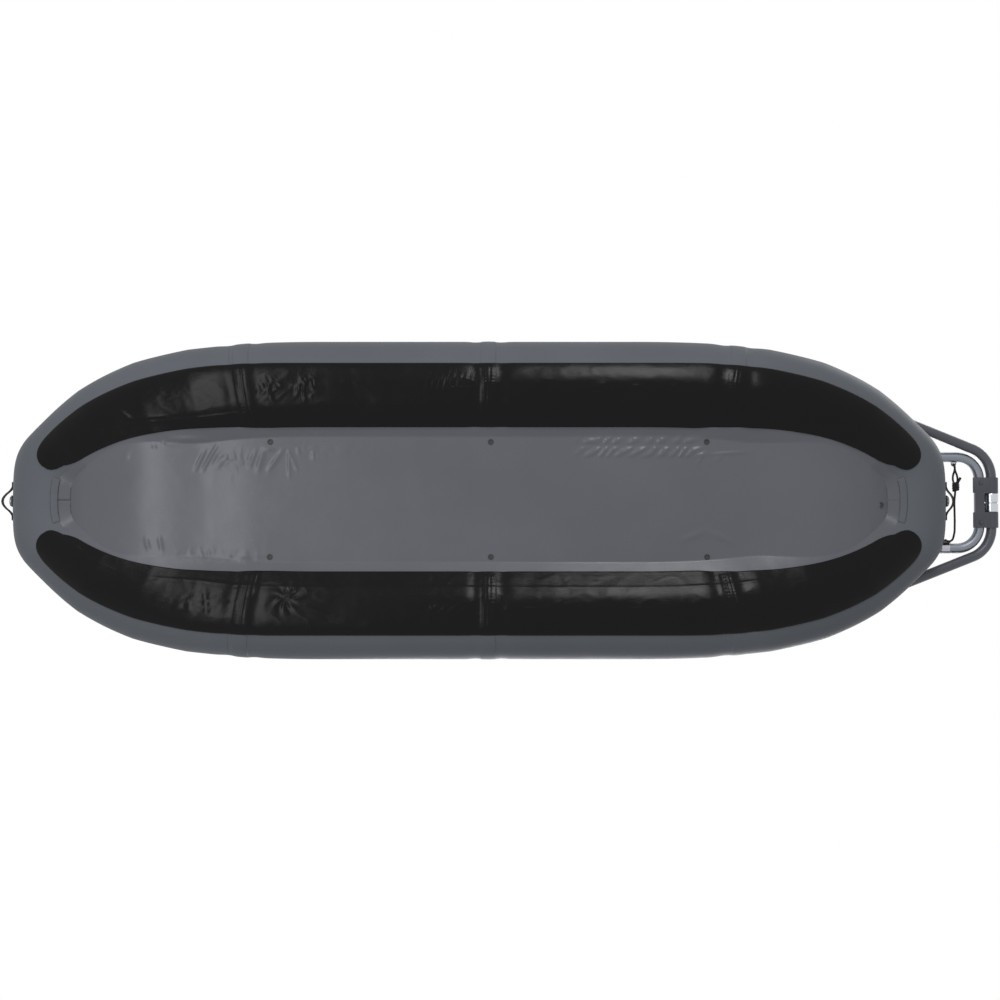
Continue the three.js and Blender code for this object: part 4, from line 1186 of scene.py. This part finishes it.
def grommet(name, x, y, radius):
    """A moulded drain ring with a dark well, set in the skin."""
    profile = [(0, -0.0008), (radius * 0.62, -0.0008), (radius * 0.72, -0.0030), (radius, -0.0034)]
    profile += [(radius * 1.2, -0.0022), (radius * 1.2, 0.0025), (0, 0.0025)]
    bm = spun(profile, 24, Matrix.Translation((x, y, skin_height(x))))
    return piece(name, bm, black_plastic)


for number, x in enumerate(DRAINS_X, 1):
    for side_name, side in SIDES:
        grommet(f"{side_name}_drain_{number}", x, side * DRAIN_Y, DRAIN_RADIUS)
grommet("stern_drain", *STERN_DRAIN_AT, DRAIN_RADIUS * 1.1)
print("seven drains")

# %% [markdown]
# ## Floor panel
#
# The floor is a flat air mattress: thousands of threads hold its two faces parallel, so only its edge
# bulges. It lies loose in the bottom of the raft.

# %% Floor panel
PANEL_THICKNESS = 0.100
PANEL_MARGIN = 0.006
PANEL_LIFT = 0.005
PANEL_ENDS = (0.38, 1.62)
PANEL_ROUNDING = 0.018


def floor_panel():
    start, end = [distance_to(place) for place in PANEL_ENDS]

    def shape(distance, turn):
        inner = station(distance).inner
        base = skin_height(inner.x) + SKIN_THICKNESS + PANEL_LIFT
        to_end = min(distance - start, end - distance) / (end - start)
        pull = sqrt(max(0.0, 1 - (1 - min(1, to_end / PANEL_ROUNDING)) ** 2))
        radius = PANEL_THICKNESS / 2 * mix(0.55, 1, pull)
        flat = (inner.y - PANEL_MARGIN - radius) * (1 if cos(turn) >= 0 else -1)
        height = base + PANEL_THICKNESS / 2 + radius * sin(turn)
        return Vector((inner.x, flat + radius * cos(turn), height))

    bm = capped(cloth(evenly(start, end, 120), evenly(0, tau, 48), shape))
    return piece("air_floor", bm, floor_cloth, "floor_panel")


floor_panel()

# %% [markdown]
# ## Frame
#
# Rails, cross bars and the stern tube are all one size of aluminium tube, bent cold and then coated.
# A bend keeps one radius, so each tube is drawn as straight runs joined by arcs.

# %% Rails and cross bars
rail_low, rail_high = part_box("port_rail")
RAIL_Y = (rail_low.y + rail_high.y) / 2
RAIL_Z = (rail_low.z + rail_high.z) / 2
FRAME_TUBE = 0.0413 / 2
BORE = FRAME_TUBE + GAP
SLEEVE = BORE + 0.004
SCREW_SHIFT = 0.018


def sleeve(middle, axis, length):
    """The collar at a bar's end that grips another tube."""
    return spun(ring(BORE, SLEEVE, -length / 2, length / 2), 32, facing(middle, axis))


def set_screw(place, axis):
    """A small hexagon-socket screw that locks a sleeve."""
    profile = [(0, 0.0012), (0.0022, 0.0012), (0.0022, 0.0035), (0.0040, 0.0035), (0.0044, 0.003)]
    return spun(profile + [(0.0044, -0.002), (0, -0.002)], 16, facing(place, axis))


def rail(side_name, side):
    rod = ring(0, FRAME_TUBE, 0, rail_high.x - rail_low.x)[:-1]
    bm = spun(rod, 32, facing((rail_low.x, side * RAIL_Y, RAIL_Z), (1, 0, 0)))
    return piece(f"{side_name}_rail_tube", bm, coated_tube, f"{side_name}_rail")


def cross_bar(node, x, z, length, slope=0.0):
    """A bar across the raft. Its screwed sleeves lie along the slope of the tubes on both sides."""
    along = Vector((1, 0, -slope)).normalized()
    up = Vector((slope, 0, 1)).normalized()
    reach = RAIL_Y - FRAME_TUBE - 0.002
    parts = [tubing([(x, -reach, z), (x, reach, z)], FRAME_TUBE, 28)]
    for _, side in SIDES:
        middle = Vector((x, side * RAIL_Y, z))
        parts.append(sleeve(middle, along, length))
        for shift in (-SCREW_SHIFT, SCREW_SHIFT):
            parts.append(set_screw(middle + along * shift + up * SLEEVE, up))
    return piece(f"{node}_tube", added(*parts), coated_tube, node)


for side_name, side in SIDES:
    rail(side_name, side)
for node in ("bow_bar", "front_seat_bar", "foot_bar", "rowing_seat_bar", "aft_bar"):
    bar_low, bar_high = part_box(node)
    cross_bar(node, (bar_low.x + bar_high.x) / 2, RAIL_Z, bar_high.x - bar_low.x)
print("two rails and five cross bars")

# %% Stern tube and anchor hoop
ANCHOR_Z = 0.565
STERN_BAR_X = MIDDLE_X - 2.107
STERN_RISE_X = MIDDLE_X - 1.010
STERN_TURN_X = MIDDLE_X - 1.490
STERN_TAPER = radians(20.7)
HOOP_BAR_X = MIDDLE_X - 2.057
HOOP_LEG_Y = 0.188
HOOP_FOOT_X = MIDDLE_X - 1.280
STERN_SLOPE = (ANCHOR_Z - RAIL_Z) / (STERN_RISE_X - STERN_BAR_X)


def stern_height(x):
    return RAIL_Z + STERN_SLOPE * (STERN_RISE_X - x)


def stern_tube():
    corner_y = RAIL_Y - tan(STERN_TAPER) * (STERN_TURN_X - STERN_BAR_X)
    port = [
        (rail_low.x - GAP, RAIL_Y, RAIL_Z),
        (STERN_RISE_X, RAIL_Y, RAIL_Z),
        (STERN_TURN_X, RAIL_Y, stern_height(STERN_TURN_X)),
        (STERN_BAR_X, corner_y, ANCHOR_Z),
    ]
    radii = [0.150, 0.220, 0.126]
    bent = tubing(fillet(port + mirrored(port), radii + radii[::-1]), FRAME_TUBE, 28)
    return piece("stern_tube_bent", bent, coated_tube, "stern_tube")


def anchor_hoop():
    foot_z = stern_height(HOOP_FOOT_X)
    port = [
        (HOOP_FOOT_X - 0.012, HOOP_LEG_Y, foot_z + 0.008),
        (MIDDLE_X - 1.560, HOOP_LEG_Y, ANCHOR_Z),
        (HOOP_BAR_X, HOOP_LEG_Y, ANCHOR_Z),
    ]
    radii = [0.120, 0.092]
    parts = [tubing(fillet(port + mirrored(port), radii + radii[::-1]), FRAME_TUBE, 28)]
    for _, side in SIDES:
        parts.append(sleeve((HOOP_FOOT_X, side * HOOP_LEG_Y, foot_z), (0, 1, 0), 0.054))
    return piece("anchor_hoop_tube", added(*parts), bare_tube, "anchor_hoop")


stern_tube()
cross_bar("hoop_bar", HOOP_FOOT_X, stern_height(HOOP_FOOT_X), 0.064, STERN_SLOPE)
anchor_hoop()

# %% [markdown]
# ## Stern gear
#
# A plate is bolted under the hoop and curled into two eyes round the stern tube. A polished roller
# turns on the tube between the eyes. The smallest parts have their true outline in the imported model
# already; a merged copy with its sharp edges rounded is enough to catch the light as they do.

# %% Bracket, roller and clamp
def refined(node, look, body="raft", width=0.0006):
    """The plain solid of that name with its sharp edges rounded."""
    return piece(f"{node}_piece", softened(from_node(node), width), look, node, body)


roller_low, roller_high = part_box("roller")
ROLLER_HALF = roller_high.y
ROLLER_RADIUS = (roller_high.z - roller_low.z) / 2
EYE_START = ROLLER_HALF + 0.0005
EYE_END = 0.1035
EYE_RADIUS = 0.028
BRACKET_FRONT = MIDDLE_X - 2.025
BRACKET_WINDOW = MIDDLE_X - 2.072
BRACKET_THICKNESS = 0.006
NOTCH_DEPTH = 0.009
NOTCH_HALF = 0.040


def bracket():
    half = [
        (STERN_BAR_X, EYE_START),
        (STERN_BAR_X, EYE_END),
        (BRACKET_FRONT, EYE_END),
        (BRACKET_FRONT, NOTCH_HALF),
        (BRACKET_FRONT - NOTCH_DEPTH, NOTCH_HALF),
    ]
    outline = half + [(x, -y) for x, y in reversed(half)]
    outline += [(BRACKET_WINDOW, -EYE_START), (BRACKET_WINDOW, EYE_START)]
    underside = ANCHOR_Z - BORE - BRACKET_THICKNESS
    parts = [moved(extruded(outline, BRACKET_THICKNESS), Matrix.Translation((0, 0, underside)))]
    for _, side in SIDES:
        eye = ring(BORE, EYE_RADIUS, EYE_START, EYE_END, 0.0008)
        parts.append(spun(eye, 64, facing((STERN_BAR_X, 0, ANCHOR_Z), (0, side, 0))))
    return added(*parts)


def roller():
    """A polished drum with a groove turned round its middle."""
    half, radius = ROLLER_HALF, ROLLER_RADIUS
    side = [(BORE, half), (radius - 0.0028, half), (radius - 0.0008, half - 0.0008)]
    side += [(radius, half - 0.0030), (radius, 0.0028), (radius - 0.0012, 0.0018), (radius - 0.0030, 0.0008)]
    profile = side + [(out, -along) for out, along in reversed(side)] + [(BORE, half)]
    return spun(profile, 64, facing((STERN_BAR_X, 0, ANCHOR_Z), (0, 1, 0)))


def clamp_ring():
    """The bright band that clamps the cleat to the hoop's starboard leg."""
    band = ring(BORE, FRAME_TUBE + 0.0020, -0.017, 0.017, 0.0005)
    return spun(band, 40, facing((MIDDLE_X + CLEAT[0], -HOOP_LEG_Y, ANCHOR_Z), (1, 0, 0)))


piece("bracket_plate", bracket(), bracket_paint, "bracket")
piece("roller_drum", roller(), polished, "roller", "roller")
piece("cleat_clamp", clamp_ring(), steel)
refined("pad_eye", steel)
refined("cleat_base", black_plastic)
for cam in ("upper_cam", "lower_cam"):
    refined(cam, black_plastic, cam, 0.0003)
for side_name, _ in SIDES:
    refined(f"{side_name}_bracket_bolt", bracket_paint)
    refined(f"{side_name}_snap_button", steel, f"{side_name}_button", 0.0004)

# %% [markdown]
# ## Handles, rings, straps and valves
#
# Webbing lies flat on what it is pulled over. A hold-down strap leaves the tube on a tangent, runs
# over the rail and comes down to the tube again. The valves sit in the top of the aft side panels.

# %% Hull fittings
STRAP_WIDTH = 0.025
STRAP_THICKNESS = 0.0025
HOLD_DOWN_X = 0.630
HOLD_DOWN_FROM = 10  # degrees above the tube's outermost line


def hold_down(name, x, side):
    """A strap round the tube and over the rail, laid along their common tangents."""
    rise = RAIL_Z - EQUATOR
    on_hull = TUBE_RADIUS + 0.0012 + STRAP_THICKNESS / 2
    on_rail = FRAME_TUBE + 0.0004 + STRAP_THICKNESS / 2
    lean = degrees(asin((on_hull - on_rail) / rise))
    line = arc((0, 0), on_hull, HOLD_DOWN_FROM, lean, 30)
    line += arc((0, rise), on_rail, lean, 180 - lean, 20)
    line += arc((0, 0), on_hull, 180 - lean, 180 - HOLD_DOWN_FROM, 30)
    places = [(x, side * RAIL_Y + across, EQUATOR + up) for across, up in line]
    belt = ribbon(places, (1, 0, 0), STRAP_WIDTH, STRAP_THICKNESS)
    return piece(f"{name}_belt", belt, strap_webbing, name)


VALVE_X = MIDDLE_X - 0.560
VALVE_ANGLE = radians(140)


def valve(side_name, side):
    """A recessed cup glued into the tube, and a cap with a grip bar that twists into it."""
    distance = side * distance_of(VALVE_X)
    foot = on_tube(distance, VALVE_ANGLE, 0.0006)
    seat = facing(foot, on_tube(distance, VALVE_ANGLE, 0.1) - foot)
    cup = [(0, 0), (0.034, 0), (0.034, 0.0022), (0.0332, 0.003), (0.0315, 0.0054), (0.0308, 0.006)]
    cup += [(0.0268, 0.006), (0.0264, 0.0056), (0.0264, 0.002), (0, 0.002)]
    name = f"{side_name}_valve"
    piece(f"{name}_cup", spun(cup, 48, seat), black_plastic, f"{name}_body")
    disc = [(0, 0.0024), (0.0255, 0.0024), (0.026, 0.003), (0.026, 0.0066), (0.0232, 0.0088)]
    grip = moved(slab((0.038, 0.007, 0.006), (0, 0, 0.011), 0.0018), seat)
    lid = added(spun(disc + [(0.0225, 0.009), (0, 0.009)], 48, seat), grip)
    piece(f"{name}_lid", lid, black_plastic, f"{name}_cap", f"{side_name}_cap")


for side_name, side in SIDES:
    hold_down(f"{side_name}_fore_strap", MIDDLE_X + HOLD_DOWN_X, side)
    hold_down(f"{side_name}_aft_strap", MIDDLE_X - HOLD_DOWN_X, side)
    valve(side_name, side)
for end in ("bow", "stern"):
    refined(f"{end}_handle", strap_webbing)
    refined(f"{end}_d_ring_patch", ("black_vinyl", hull_cloth[1]))
    refined(f"{end}_d_ring", steel, f"{end}_ring", 0.0003)

# %% [markdown]
# ## Oarlocks
#
# A stand is clamped on each rail. The horn above it is one bent rod with its ends turned up, and it
# swings on a pin in the stand's head.

# %% Oarlock stands and horns
OARLOCK_X = MIDDLE_X - 0.120
OARLOCK_RISE = 0.215
HORN_RADIUS = 0.033


def oarlock(side_name, y):
    """A clamped stand, and the horn that turns on a pin in its head."""
    name, top = f"{side_name}_oarlock", OARLOCK_RISE
    clamp = ring(BORE, SLEEVE + 0.001, -0.038, 0.038)
    post = [(0, 0.022), (0.0232, 0.022), (0.024, 0.0228), (0.024, 0.030), (0.019, 0.038), (0.016, 0.047)]
    post += [(0.015, 0.055), (0.015, top - 0.046), (0.020, top - 0.034), (0.020, top - 0.0025)]
    post += [(0.018, top), (0.0068, top), (0.0068, top - 0.020), (0, top - 0.020)]
    parts = [spun(clamp, 40, facing((OARLOCK_X, y, RAIL_Z), (1, 0, 0)))]
    parts.append(spun(post, 40, Matrix.Translation((OARLOCK_X, y, RAIL_Z))))
    piece(f"{name}_post", added(*parts), coated_tube, f"{name}_stand")
    pin = [(0, -0.018), (0.0058, -0.018), (0.00635, -0.0174), (0.00635, GAP), (0.0136, GAP)]
    pin += [(0.014, 0.0008), (0.014, 0.005), (0.009, 0.012), (0, 0.012)]
    horn = [(across, 0, up) for across, up in arc((0, 0.045), HORN_RADIUS, -232, 52, 48)]
    whole = added(spun(pin, 32, Matrix()), tubing(horn, 0.0065, 16))
    socket = Matrix.Translation((OARLOCK_X, y, RAIL_Z + top))
    piece(f"{name}_horn", moved(whole, socket), bare_tube, name, name)


for side_name, side in SIDES:
    oarlock(side_name, side * RAIL_Y)

# %% [markdown]
# ## Seats
#
# Each seat turns on a disc over its cross bar. The pan and the folding back are moulded sheets. The
# cushions are sewn bags stuffed with foam: each is inflated a little as cloth, so that it pulls tight
# at the corners, and its channels are pressed in afterwards.

# %% Seat parts
SEAT_DEPTH = 0.420
SEAT_WIDTH = 0.430
BACK_HEIGHT = 0.390
RECLINE = radians(12)
TURNTABLE = 0.056
PAN = TURNTABLE + 0.0065
HINGE_AT = (-0.192, PAN + 0.108)
HINGE_PIN = 0.005
EAR_Y = SEAT_WIDTH / 2 - 0.008
EAR_THICKNESS = 0.009
SHEET = 0.006


def moulded(depth, width, height):
    """A thin sheet, its height given by a formula of the two directions, which run from -1 to 1."""
    def shape(u, v):
        corner = 1 - 0.06 * u * u * v * v
        return Vector((depth / 2 * u * corner, width / 2 * v * corner, height(u, v) - SHEET))

    steps = [sin(value) for value in evenly(-pi / 2, pi / 2, 30)]
    bm = cloth(steps, steps, shape)
    bmesh.ops.recalc_face_normals(bm, faces=bm.faces)
    upward = 1 if sum(face.normal.z for face in bm.faces) > 0 else -1
    bmesh.ops.solidify(bm, geom=bm.faces, thickness=-SHEET * upward)
    return softened(bm, 0.0015, 60, 3)


def ear(side):
    """The upright plate on one side of the pan that holds the backrest's hinge."""
    hinge_x, hinge_z = HINGE_AT[0], HINGE_AT[1] - PAN
    rear = [(hinge_x + 0.015, hinge_z, 0), (hinge_x + 0.020, 0.062, 0)]
    rear += [(hinge_x + 0.008, 0.034, 0), (-0.150, 0.022, 0)]
    outline = [(-0.150, 0.008), (hinge_x - 0.014, 0.008)]
    outline += arc((hinge_x, hinge_z), 0.015, 180, 0, 16)
    outline += [bezier(rear, share).xy for share in evenly(0, 1, 10)[1:]]
    away = side * (EAR_Y - 0.003) + EAR_THICKNESS / 2
    stands = Matrix.Translation((0, away, PAN)) @ Matrix.Rotation(pi / 2, 4, "X")
    return moved(extruded(outline, EAR_THICKNESS), stands)


def seat_shell():
    def lip(u, v):
        return 0.014 * v**6 + 0.010 * max(0, -u) ** 4 - 0.012 * max(0, u) ** 6

    pan = moved(moulded(SEAT_DEPTH, SEAT_WIDTH, lip), Matrix.Translation((0, 0, PAN + 2 * SHEET)))
    hub = [(0, 0.0004), (0.0735, 0.0004), (0.074, 0.001), (0.074, 0.005), (0.060, 0.014), (0, 0.014)]
    return added(pan, spun(hub, 56, Matrix.Translation((0, 0, TURNTABLE))), ear(1), ear(-1))


def seat_base():
    """A clamp on the cross bar, a block, a plate and the lower half of the turntable."""
    turn = [(0, -0.0084), (0.073, -0.0084), (0.074, -0.0074), (0.074, -0.0004), (0, -0.0004)]
    parts = [spun(ring(BORE, 0.029, -0.065, 0.065), 48, facing((0, 0, 0), (0, 1, 0)))]
    parts.append(slab((0.058, 0.110, 0.0225), (0, 0, 0.03275), 0.002))
    parts.append(slab((0.190, 0.170, 0.006), (0, 0, 0.045), 0.0025))
    parts.append(spun(turn, 56, Matrix.Translation((0, 0, TURNTABLE))))
    return added(*parts)


def backrest():
    """Laid out upright from its hinge, with +X to the front."""
    def hollow(u, v):
        return 0.008 * v * v + 0.002 * u * u

    stand = Matrix.Translation((0, 0, BACK_HEIGHT / 2 + 0.016)) @ Matrix.Rotation(pi / 2, 4, "Y")
    parts = [moved(moulded(BACK_HEIGHT, SEAT_WIDTH - 0.044, hollow), stand)]
    pin = [(0, -EAR_Y), (HINGE_PIN, -EAR_Y), (HINGE_PIN, EAR_Y), (0, EAR_Y)]
    parts.append(spun(pin, 24, facing((0, 0, 0), (0, 1, 0))))
    for _, side in SIDES:
        parts.append(slab((0.024, 0.018, 0.046), (0.004, side * (SEAT_WIDTH / 2 - 0.050), 0.016), 0.003))
    return added(*parts)


# %% Cushions
SEAT_PAD = (SEAT_DEPTH - 0.044, SEAT_WIDTH - 0.056, 0.046)
BACK_PAD = (BACK_HEIGHT - 0.040, SEAT_WIDTH - 0.100, 0.034)
SEAM_SHARE = 0.42  # of a cushion's height
WAIST = 0.035
CHANNELS = (-0.33, 0.33)
CHANNEL_DEPTH = 0.22
WEAVE = 0.005
FILL_PRESSURE = 4.0
FILL_FRAMES = 20
MOST_SWELL = 0.004
WELT_RADIUS = 0.0028


def drawn_in(u, v, depth, width):
    """A place on a cushion in plan. Its sides are drawn in between the corners."""
    return depth / 2 * (u - WAIST * (1 - v * v) * u**3), width / 2 * (v - WAIST * (1 - u * u) * v**3)


def inflated(bm):
    """The bag blown up as cloth. No point moves further than a few millimetres."""
    mesh = bpy.data.meshes.new("bag")
    bm.to_mesh(mesh)
    bag = linked("bag", mesh)
    even = bag.modifiers.new("even", "REMESH")
    even.mode = "VOXEL"
    even.voxel_size = WEAVE
    graph = bpy.context.evaluated_depsgraph_get()
    evened = bpy.data.meshes.new_from_object(bag.evaluated_get(graph))
    bag.modifiers.clear()
    bag.data = evened
    before = [vert.co.copy() for vert in evened.vertices]
    sewn = bag.modifiers.new("sewn", "CLOTH")
    sewn.settings.use_pressure = True
    sewn.settings.uniform_pressure_force = FILL_PRESSURE
    sewn.settings.effector_weights.gravity = 0
    sewn.settings.quality = 5
    scene = bpy.context.scene
    for number in range(FILL_FRAMES):
        scene.frame_set(number + 1)
    graph = bpy.context.evaluated_depsgraph_get()
    full = bpy.data.meshes.new_from_object(bag.evaluated_get(graph))
    scene.frame_set(1)
    result = bmesh.new()
    result.from_mesh(full)
    result.verts.ensure_lookup_table()
    for vert, start in zip(result.verts, before):
        move = vert.co - start
        if move.length > MOST_SWELL:
            vert.co = start + move.normalized() * MOST_SWELL
    bpy.data.objects.remove(bag)
    return result


def cushion(depth, width, height):
    """A crowned pad with two channels pressed across it."""
    seam = height * SEAM_SHARE
    steps = [sin(value) for value in evenly(-pi / 2, pi / 2, 36)]

    def fullness(u, v):
        return sqrt(max(0.0, (1 - u**4) * (1 - v**4)))

    def upper(u, v):
        return Vector((*drawn_in(u, v, depth, width), seam + (height - seam - MOST_SWELL) * fullness(u, v)))

    def lower(u, v):
        return Vector((*drawn_in(u, v, depth, width), seam * (1 - fullness(u, v) ** 0.5)))

    bag = added(cloth(steps, steps, upper), cloth(steps, steps, lower))
    bmesh.ops.remove_doubles(bag, verts=bag.verts, dist=1e-5)
    bmesh.ops.recalc_face_normals(bag, faces=bag.faces)
    bag = inflated(bag)
    for vert in bag.verts:
        if vert.co.z > seam + 0.004:
            u = vert.co.x / (depth / 2)
            pressed = sum(exp(-(((u - channel) / 0.05) ** 2)) for channel in CHANNELS)
            vert.co.z -= CHANNEL_DEPTH * pressed * (vert.co.z - seam)
        vert.co.z = min(height, max(0.0, vert.co.z))
    axes = {"use_axis_x": True, "use_axis_y": True, "use_axis_z": True}
    bmesh.ops.smooth_vert(bag, verts=bag.verts, factor=0.4, **axes)
    return bag


def welt(depth, width, height):
    """The corded seam round a cushion."""
    around = []
    for turn in evenly(0, tau, 96)[:-1]:
        u, v = [copysign(abs(part) ** 0.25, part) for part in (cos(turn), sin(turn))]
        x, y = drawn_in(u, v, depth, width)
        around.append((x * 0.998, y * 0.998, height * SEAM_SHARE))
    return tubing(around + around[:1], WELT_RADIUS, 10)


seat_pad = cushion(*SEAT_PAD)
back_pad = cushion(*BACK_PAD)
print("cushions of", len(seat_pad.verts), "and", len(back_pad.verts), "points")


def padding(name, bm, size, place, body, node):
    """A cushion and its welt, on a seat."""
    sewn = moved(bm.copy(), place)
    made = piece(name, sewn, seat_vinyl, node, body, sharp=70, levels=1)
    piece(f"{name}_welt", moved(welt(*size), place), seat_vinyl, body=body)


def seat(name):
    base_low, base_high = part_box(f"{name}_base")
    top, back = f"{name}_top", f"{name}_back"
    at = Matrix.Translation(((base_low.x + base_high.x) / 2, 0, RAIL_Z))
    leant = at @ Matrix.Translation((HINGE_AT[0], 0, HINGE_AT[1])) @ Matrix.Rotation(-RECLINE, 4, "Y")
    piece(f"{name}_foot", moved(seat_base(), at), coated_tube, f"{name}_base")
    piece(f"{name}_pan", moved(seat_shell(), at), seat_plastic, f"{name}_shell", top)
    shell = moved(backrest(), leant)
    piece(f"{name}_back_shell", shell, seat_plastic, f"{name}_backrest", back)
    on_pan = at @ Matrix.Translation((0.006, 0, PAN + 0.0175))
    padding(f"{name}_pad", seat_pad, SEAT_PAD, on_pan, top, f"{name}_cushion")
    upright = Matrix.Rotation(pi / 2, 4, "Y")
    on_back = leant @ Matrix.Translation((0.0055, 0, BACK_HEIGHT / 2 + 0.026)) @ upright
    padding(f"{name}_back_pad", back_pad, BACK_PAD, on_back, back, f"{name}_back_cushion")


seat("front_seat")
seat("rowing_seat")
print("two seats")

# %% [markdown]
# ## Floor, lamps and world
#
# The raft stands on a plain pale floor. The camera of the photograph is below it, so the floor shows
# only its upper side and lets lamps and the lower camera through. Wide soft lamps stand above and
# below. A long one ahead of the bow and a small one out to port draw the bright bands on the black
# patches and the sheen on the skin; the two above light the frame and the seats.

# %% Stage
PALE = (0.9, 0.9, 0.9, 1)
WHITE = (1, 1, 1, 1)
FLOOR_HALF = 14
AMBIENT = 0.42


def floor_material():
    material = bpy.data.materials.new("pale_floor")
    material.use_nodes = True
    tree = material.node_tree
    nodes, links = tree.nodes, tree.links
    surface = nodes["Principled BSDF"]
    surface.inputs["Base Color"].default_value = PALE
    surface.inputs["Roughness"].default_value = 0.9
    clear = nodes.new("ShaderNodeBsdfTransparent")
    side = nodes.new("ShaderNodeNewGeometry")
    both = nodes.new("ShaderNodeMixShader")
    links.new(side.outputs["Backfacing"], both.inputs[0])
    links.new(surface.outputs[0], both.inputs[1])
    links.new(clear.outputs[0], both.inputs[2])
    links.new(both.outputs[0], nodes["Material Output"].inputs["Surface"])
    return material


floor_bm = bmesh.new()
bmesh.ops.create_grid(floor_bm, x_segments=1, y_segments=1, size=FLOOR_HALF)
floor_mesh = bpy.data.meshes.new("floor")
floor_bm.to_mesh(floor_mesh)
floor_bm.free()
floor = linked("floor", floor_mesh)
floor_mesh.materials.append(floor_material())
floor.visible_shadow = False
floor.visible_diffuse = False
floor.visible_glossy = False
floor.visible_transmission = False


def soft_lamp(name, place, aim, size, power):
    data = bpy.data.lights.new(name, "AREA")
    data.shape = "RECTANGLE"
    data.size, data.size_y = size
    data.energy = power
    lamp = linked(name, data)
    lamp.location = place
    lamp.rotation_mode = "QUATERNION"
    lamp.rotation_quaternion = (Vector(place) - Vector(aim)).to_track_quat("Z", "Y")


soft_lamp("port_aft_below", (-1.15, 4.2, -4.4), (-1.15, 0, 0.2), (1.1, 2.6), 105)
soft_lamp("bow_below", (3.0, 1.2, -5.9), (3.0, 0.4, 0.2), (1.3, 10.0), 215)
soft_lamp("above", (-1.0, -2.5, 5.0), (0, 0, 0.3), (4.0, 3.0), 160)
soft_lamp("above_aft", (-4.0, 2.5, 3.5), (0, 0, 0.3), (3.0, 2.0), 60)

def studio():
    """White to the camera and in reflections, and a soft pale light on everything else."""
    world = bpy.data.worlds.new("studio")
    world.use_nodes = True
    bpy.context.scene.world = world
    nodes, links = world.node_tree.nodes, world.node_tree.links
    seen, rays = nodes.new("ShaderNodeBackground"), nodes.new("ShaderNodeLightPath")
    for background, strength in ((nodes["Background"], AMBIENT), (seen, 1.0)):
        background.inputs["Color"].default_value = WHITE
        background.inputs["Strength"].default_value = strength
    share = rays.outputs["Is Camera Ray"]
    for kind in ("Is Glossy Ray", "Is Transmission Ray"):
        either = nodes.new("ShaderNodeMath")
        either.operation = "MAXIMUM"
        links.new(share, either.inputs[0])
        links.new(rays.outputs[kind], either.inputs[1])
        share = either.outputs[0]
    chosen = nodes.new("ShaderNodeMixShader")
    sources = (share, nodes["Background"].outputs[0], seen.outputs[0])
    for source, socket in zip(sources, chosen.inputs):
        links.new(source, socket)
    links.new(chosen.outputs[0], nodes["World Output"].inputs["Surface"])


studio()

# %% The scene brought up to date
bpy.context.view_layer.update()
